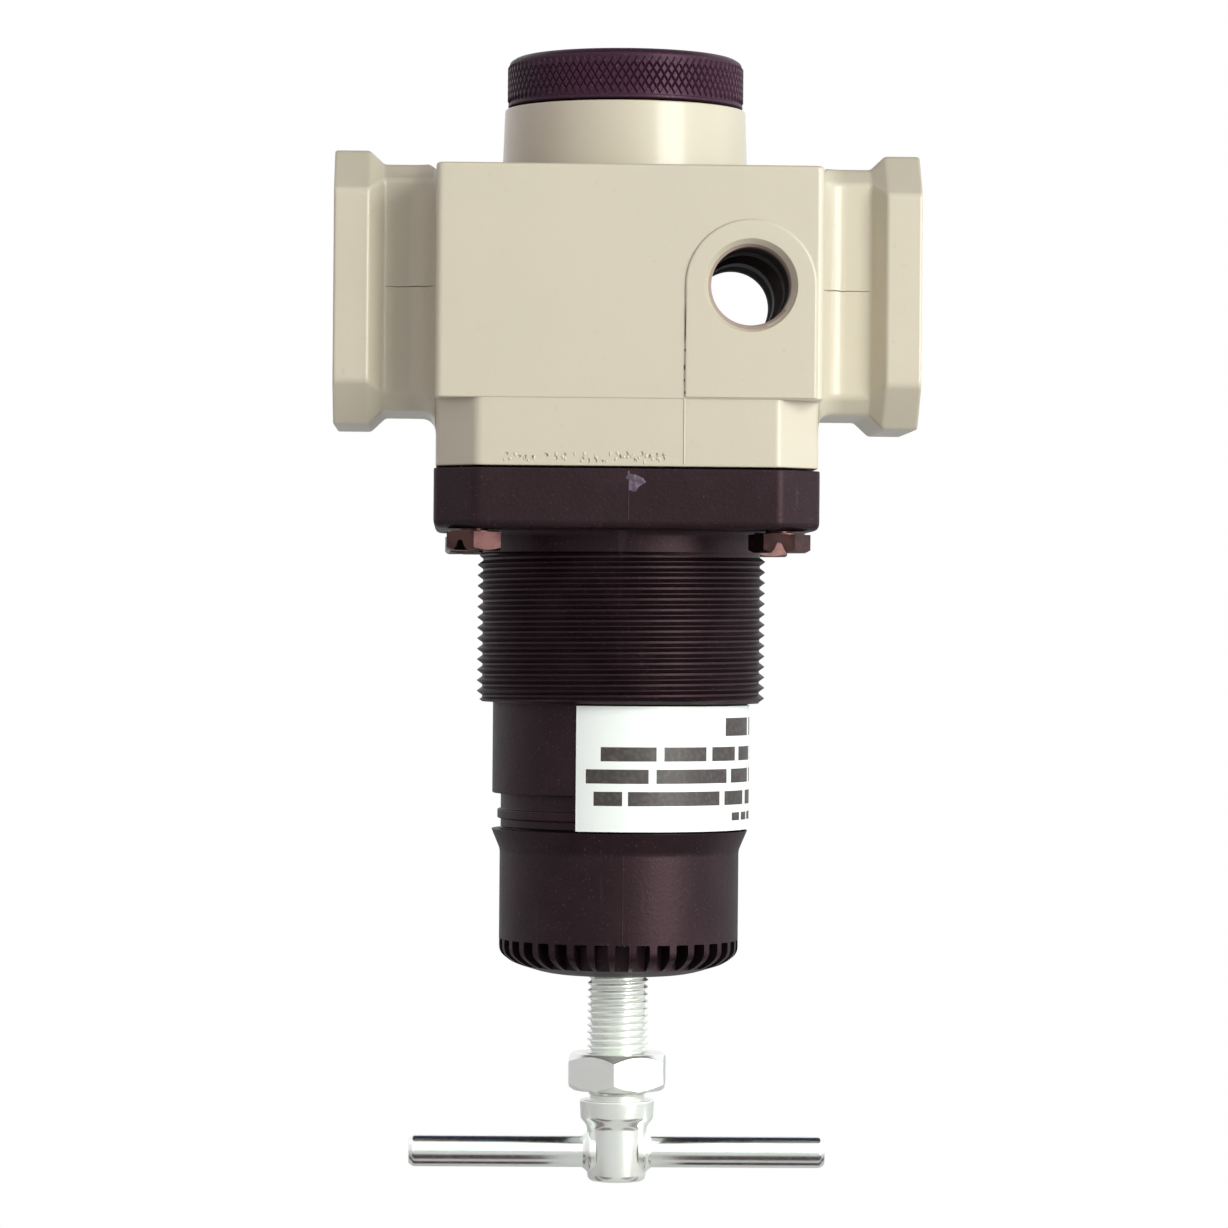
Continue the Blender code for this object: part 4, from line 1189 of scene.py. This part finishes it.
def make_camera():
    azimuth = math.radians(CAMERA_AZIMUTH_DEG)
    roll = math.radians(CAMERA_ROLL_DEG)
    forward = Vector((-math.sin(azimuth), math.cos(azimuth), 0))
    right = Vector((math.cos(azimuth), math.sin(azimuth), 0))
    up = Vector((0, 0, 1))
    place = -forward * CAMERA_DISTANCE + up * CAMERA_HEIGHT
    tilted_right = right * math.cos(roll) + up * math.sin(roll)
    tilted_up = up * math.cos(roll) - right * math.sin(roll)
    camera = bpy.data.objects.new("camera", bpy.data.cameras.new("camera"))
    camera.data.lens = CAMERA_LENS
    camera.data.shift_x, camera.data.shift_y = CAMERA_SHIFT
    camera.data.clip_start = 0.01
    camera.matrix_world = Matrix((tilted_right, tilted_up, -forward)).transposed().to_4x4()
    camera.location = place
    bpy.context.scene.collection.objects.link(camera)
    bpy.context.scene.camera = camera


def make_key_light():
    """One tall softbox at the front right."""
    light = bpy.data.objects.new("key", bpy.data.lights.new("key", "AREA"))
    light.data.shape = "RECTANGLE"
    light.data.size, light.data.size_y = KEY_SIZE
    light.data.energy = KEY_POWER
    light.data.color = KEY_COLOUR
    light.location = KEY_PLACE
    light.rotation_euler = (Vector(KEY_TARGET) - Vector(KEY_PLACE)).to_track_quat("-Z", "Y").to_euler()
    bpy.context.scene.collection.objects.link(light)


def choose_for_camera(tree, rays, otherwise, seen, output):
    """Shows one shader to the camera and the other to every other ray."""
    inputs = {"Fac": rays["Is Camera Ray"], 1: otherwise.outputs[0], 2: seen.outputs[0]}
    choose = add_node(tree, "MixShader", inputs)
    tree.links.new(choose.outputs[0], tree.nodes[output].inputs["Surface"])


def plain_material(name, colour):
    material = bpy.data.materials.new(name)
    material.use_nodes = True
    shader = material.node_tree.nodes["Principled BSDF"]
    shader.inputs["Base Color"].default_value = (*colour, 1)
    shader.inputs["Roughness"].default_value = 0.9
    return material


def make_world():
    """White to the camera. To the object it is a white tent with brighter sides than front, dimmest at the
    front left, with a dark roof vent and a dark slit for the lens."""
    world = bpy.data.worlds.new("studio")
    world.use_nodes = True
    bpy.context.scene.world = world
    tree = world.node_tree
    direction = add_node(tree, "TexCoord").outputs["Generated"]
    rays = add_node(tree, "LightPath").outputs

    def toward(axis, start, end):
        """0 to 1 as the direction's share along an axis goes from start to end."""
        inputs = {0: direction, 1: Vector(axis).normalized()}
        dot = add_node(tree, "VectorMath", inputs, operation="DOT_PRODUCT")
        inputs = {"Value": dot.outputs["Value"], "From Min": start, "From Max": end}
        return add_node(tree, "MapRange", inputs, interpolation_type="SMOOTHSTEP").outputs["Result"]

    def over(below, factor, colour):
        ends = [(*value, 1) if isinstance(value, tuple) else value for value in (below, colour)]
        inputs = {"Factor": factor, 6: ends[0], 7: ends[1]}
        return add_node(tree, "Mix", inputs, data_type="RGBA").outputs[2]

    left = over(TENT_FRONT_LEFT, rays["Is Glossy Ray"], SHINE_FRONT_LEFT)
    right = over(TENT_FRONT_RIGHT, rays["Is Glossy Ray"], SHINE_FRONT_RIGHT)
    room = over(left, toward((1, 0, 0), -0.10, 0.15), right)
    room = over(room, toward((-1, 0, 0), 0.78, 0.90), TENT_LEFT)
    far_right = over(TENT_RIGHT, rays["Is Glossy Ray"], SHINE_RIGHT)
    far_right = over(far_right, toward((0, 0, 1), 0.13, 0.22), TENT_RIGHT)
    room = over(room, toward((1, 0, 0), 0.74, 0.88), far_right)
    room = over(room, toward((0, 1, 0), 0.1, 0.6), TENT_BACK)
    room = over(room, toward((0, 0.33, 0.94), 0.80, 0.86), TENT_ROOF)
    azimuth = math.radians(CAMERA_AZIMUTH_DEG)
    lens = (math.sin(azimuth), -math.cos(azimuth), 0)
    room = over(room, toward(lens, 0.990, 0.9985), TENT_SLIT)
    seen = tree.nodes["Background"]
    seen.inputs["Color"].default_value = (1, 1, 1, 1)
    lit = add_node(tree, "Background", {"Color": room})
    choose_for_camera(tree, rays, lit, seen, "World Output")


def make_floor():
    """A plain pale floor, lit so evenly that it runs into the white background."""
    bm = bmesh.new()
    bmesh.ops.create_circle(bm, cap_ends=True, segments=96, radius=30 / MM)
    floor = solid("floor", bm)
    floor.location = (0, 0, screw_low.z * MM - 0.012)
    material = plain_material("pale_floor", (0.78, 0.78, 0.78))
    tree = material.node_tree
    glow = add_node(tree, "Emission", {"Color": (1, 1, 1, 1)})
    rays = add_node(tree, "LightPath").outputs
    choose_for_camera(tree, rays, tree.nodes["Principled BSDF"], glow, "Material Output")
    floor.data.materials.append(material)


def make_cards():
    """Dark strips on the floor that draw lines in the bright T bar. The camera does not see them."""
    material = plain_material("dark_card", (0.05, 0.02, 0.035))
    for name, near, far in (("front_card", -38, -12), ("under_card", -4.7, 2.3)):
        bm = bmesh.new()
        for side in (-1, 1):
            place = Matrix.Translation((side * 38, (near + far) / 2, 0))
            size = Matrix.Diagonal((56, far - near, 0.4, 1))
            bmesh.ops.create_cube(bm, size=1, matrix=place @ size)
        card = solid(name, bm)
        card.location = (0, 0, screw_low.z * MM - 0.0115)
        card.visible_camera = False
        card.data.materials.append(material)


def make_studio():
    make_camera()
    make_world()
    make_floor()
    make_cards()
    make_key_light()
    scene = bpy.context.scene
    scene.view_settings.view_transform = "Standard"
    scene.view_settings.look = "None"


finish_cad_nodes()
make_body()
make_plug()
make_bonnet()
make_cap()
make_label()
make_bonnet_screws()
make_adjusting_screw()
make_t_bar()
make_lock_nut()
make_spring("range_spring", "main_spring", "screw_feed", 13.5, 3.2, 7, 48, 14)
make_spring("closing_spring", "valve_spring", "valve_stroke", 6, 0.9, 6, 32, 10)
o_ring("plug_seal", "plug_o_ring", 13.25, 0.85)
o_ring("stem_seal", "valve_stem_o_ring", 5.2, 0.8)
make_diaphragm()
make_studio()
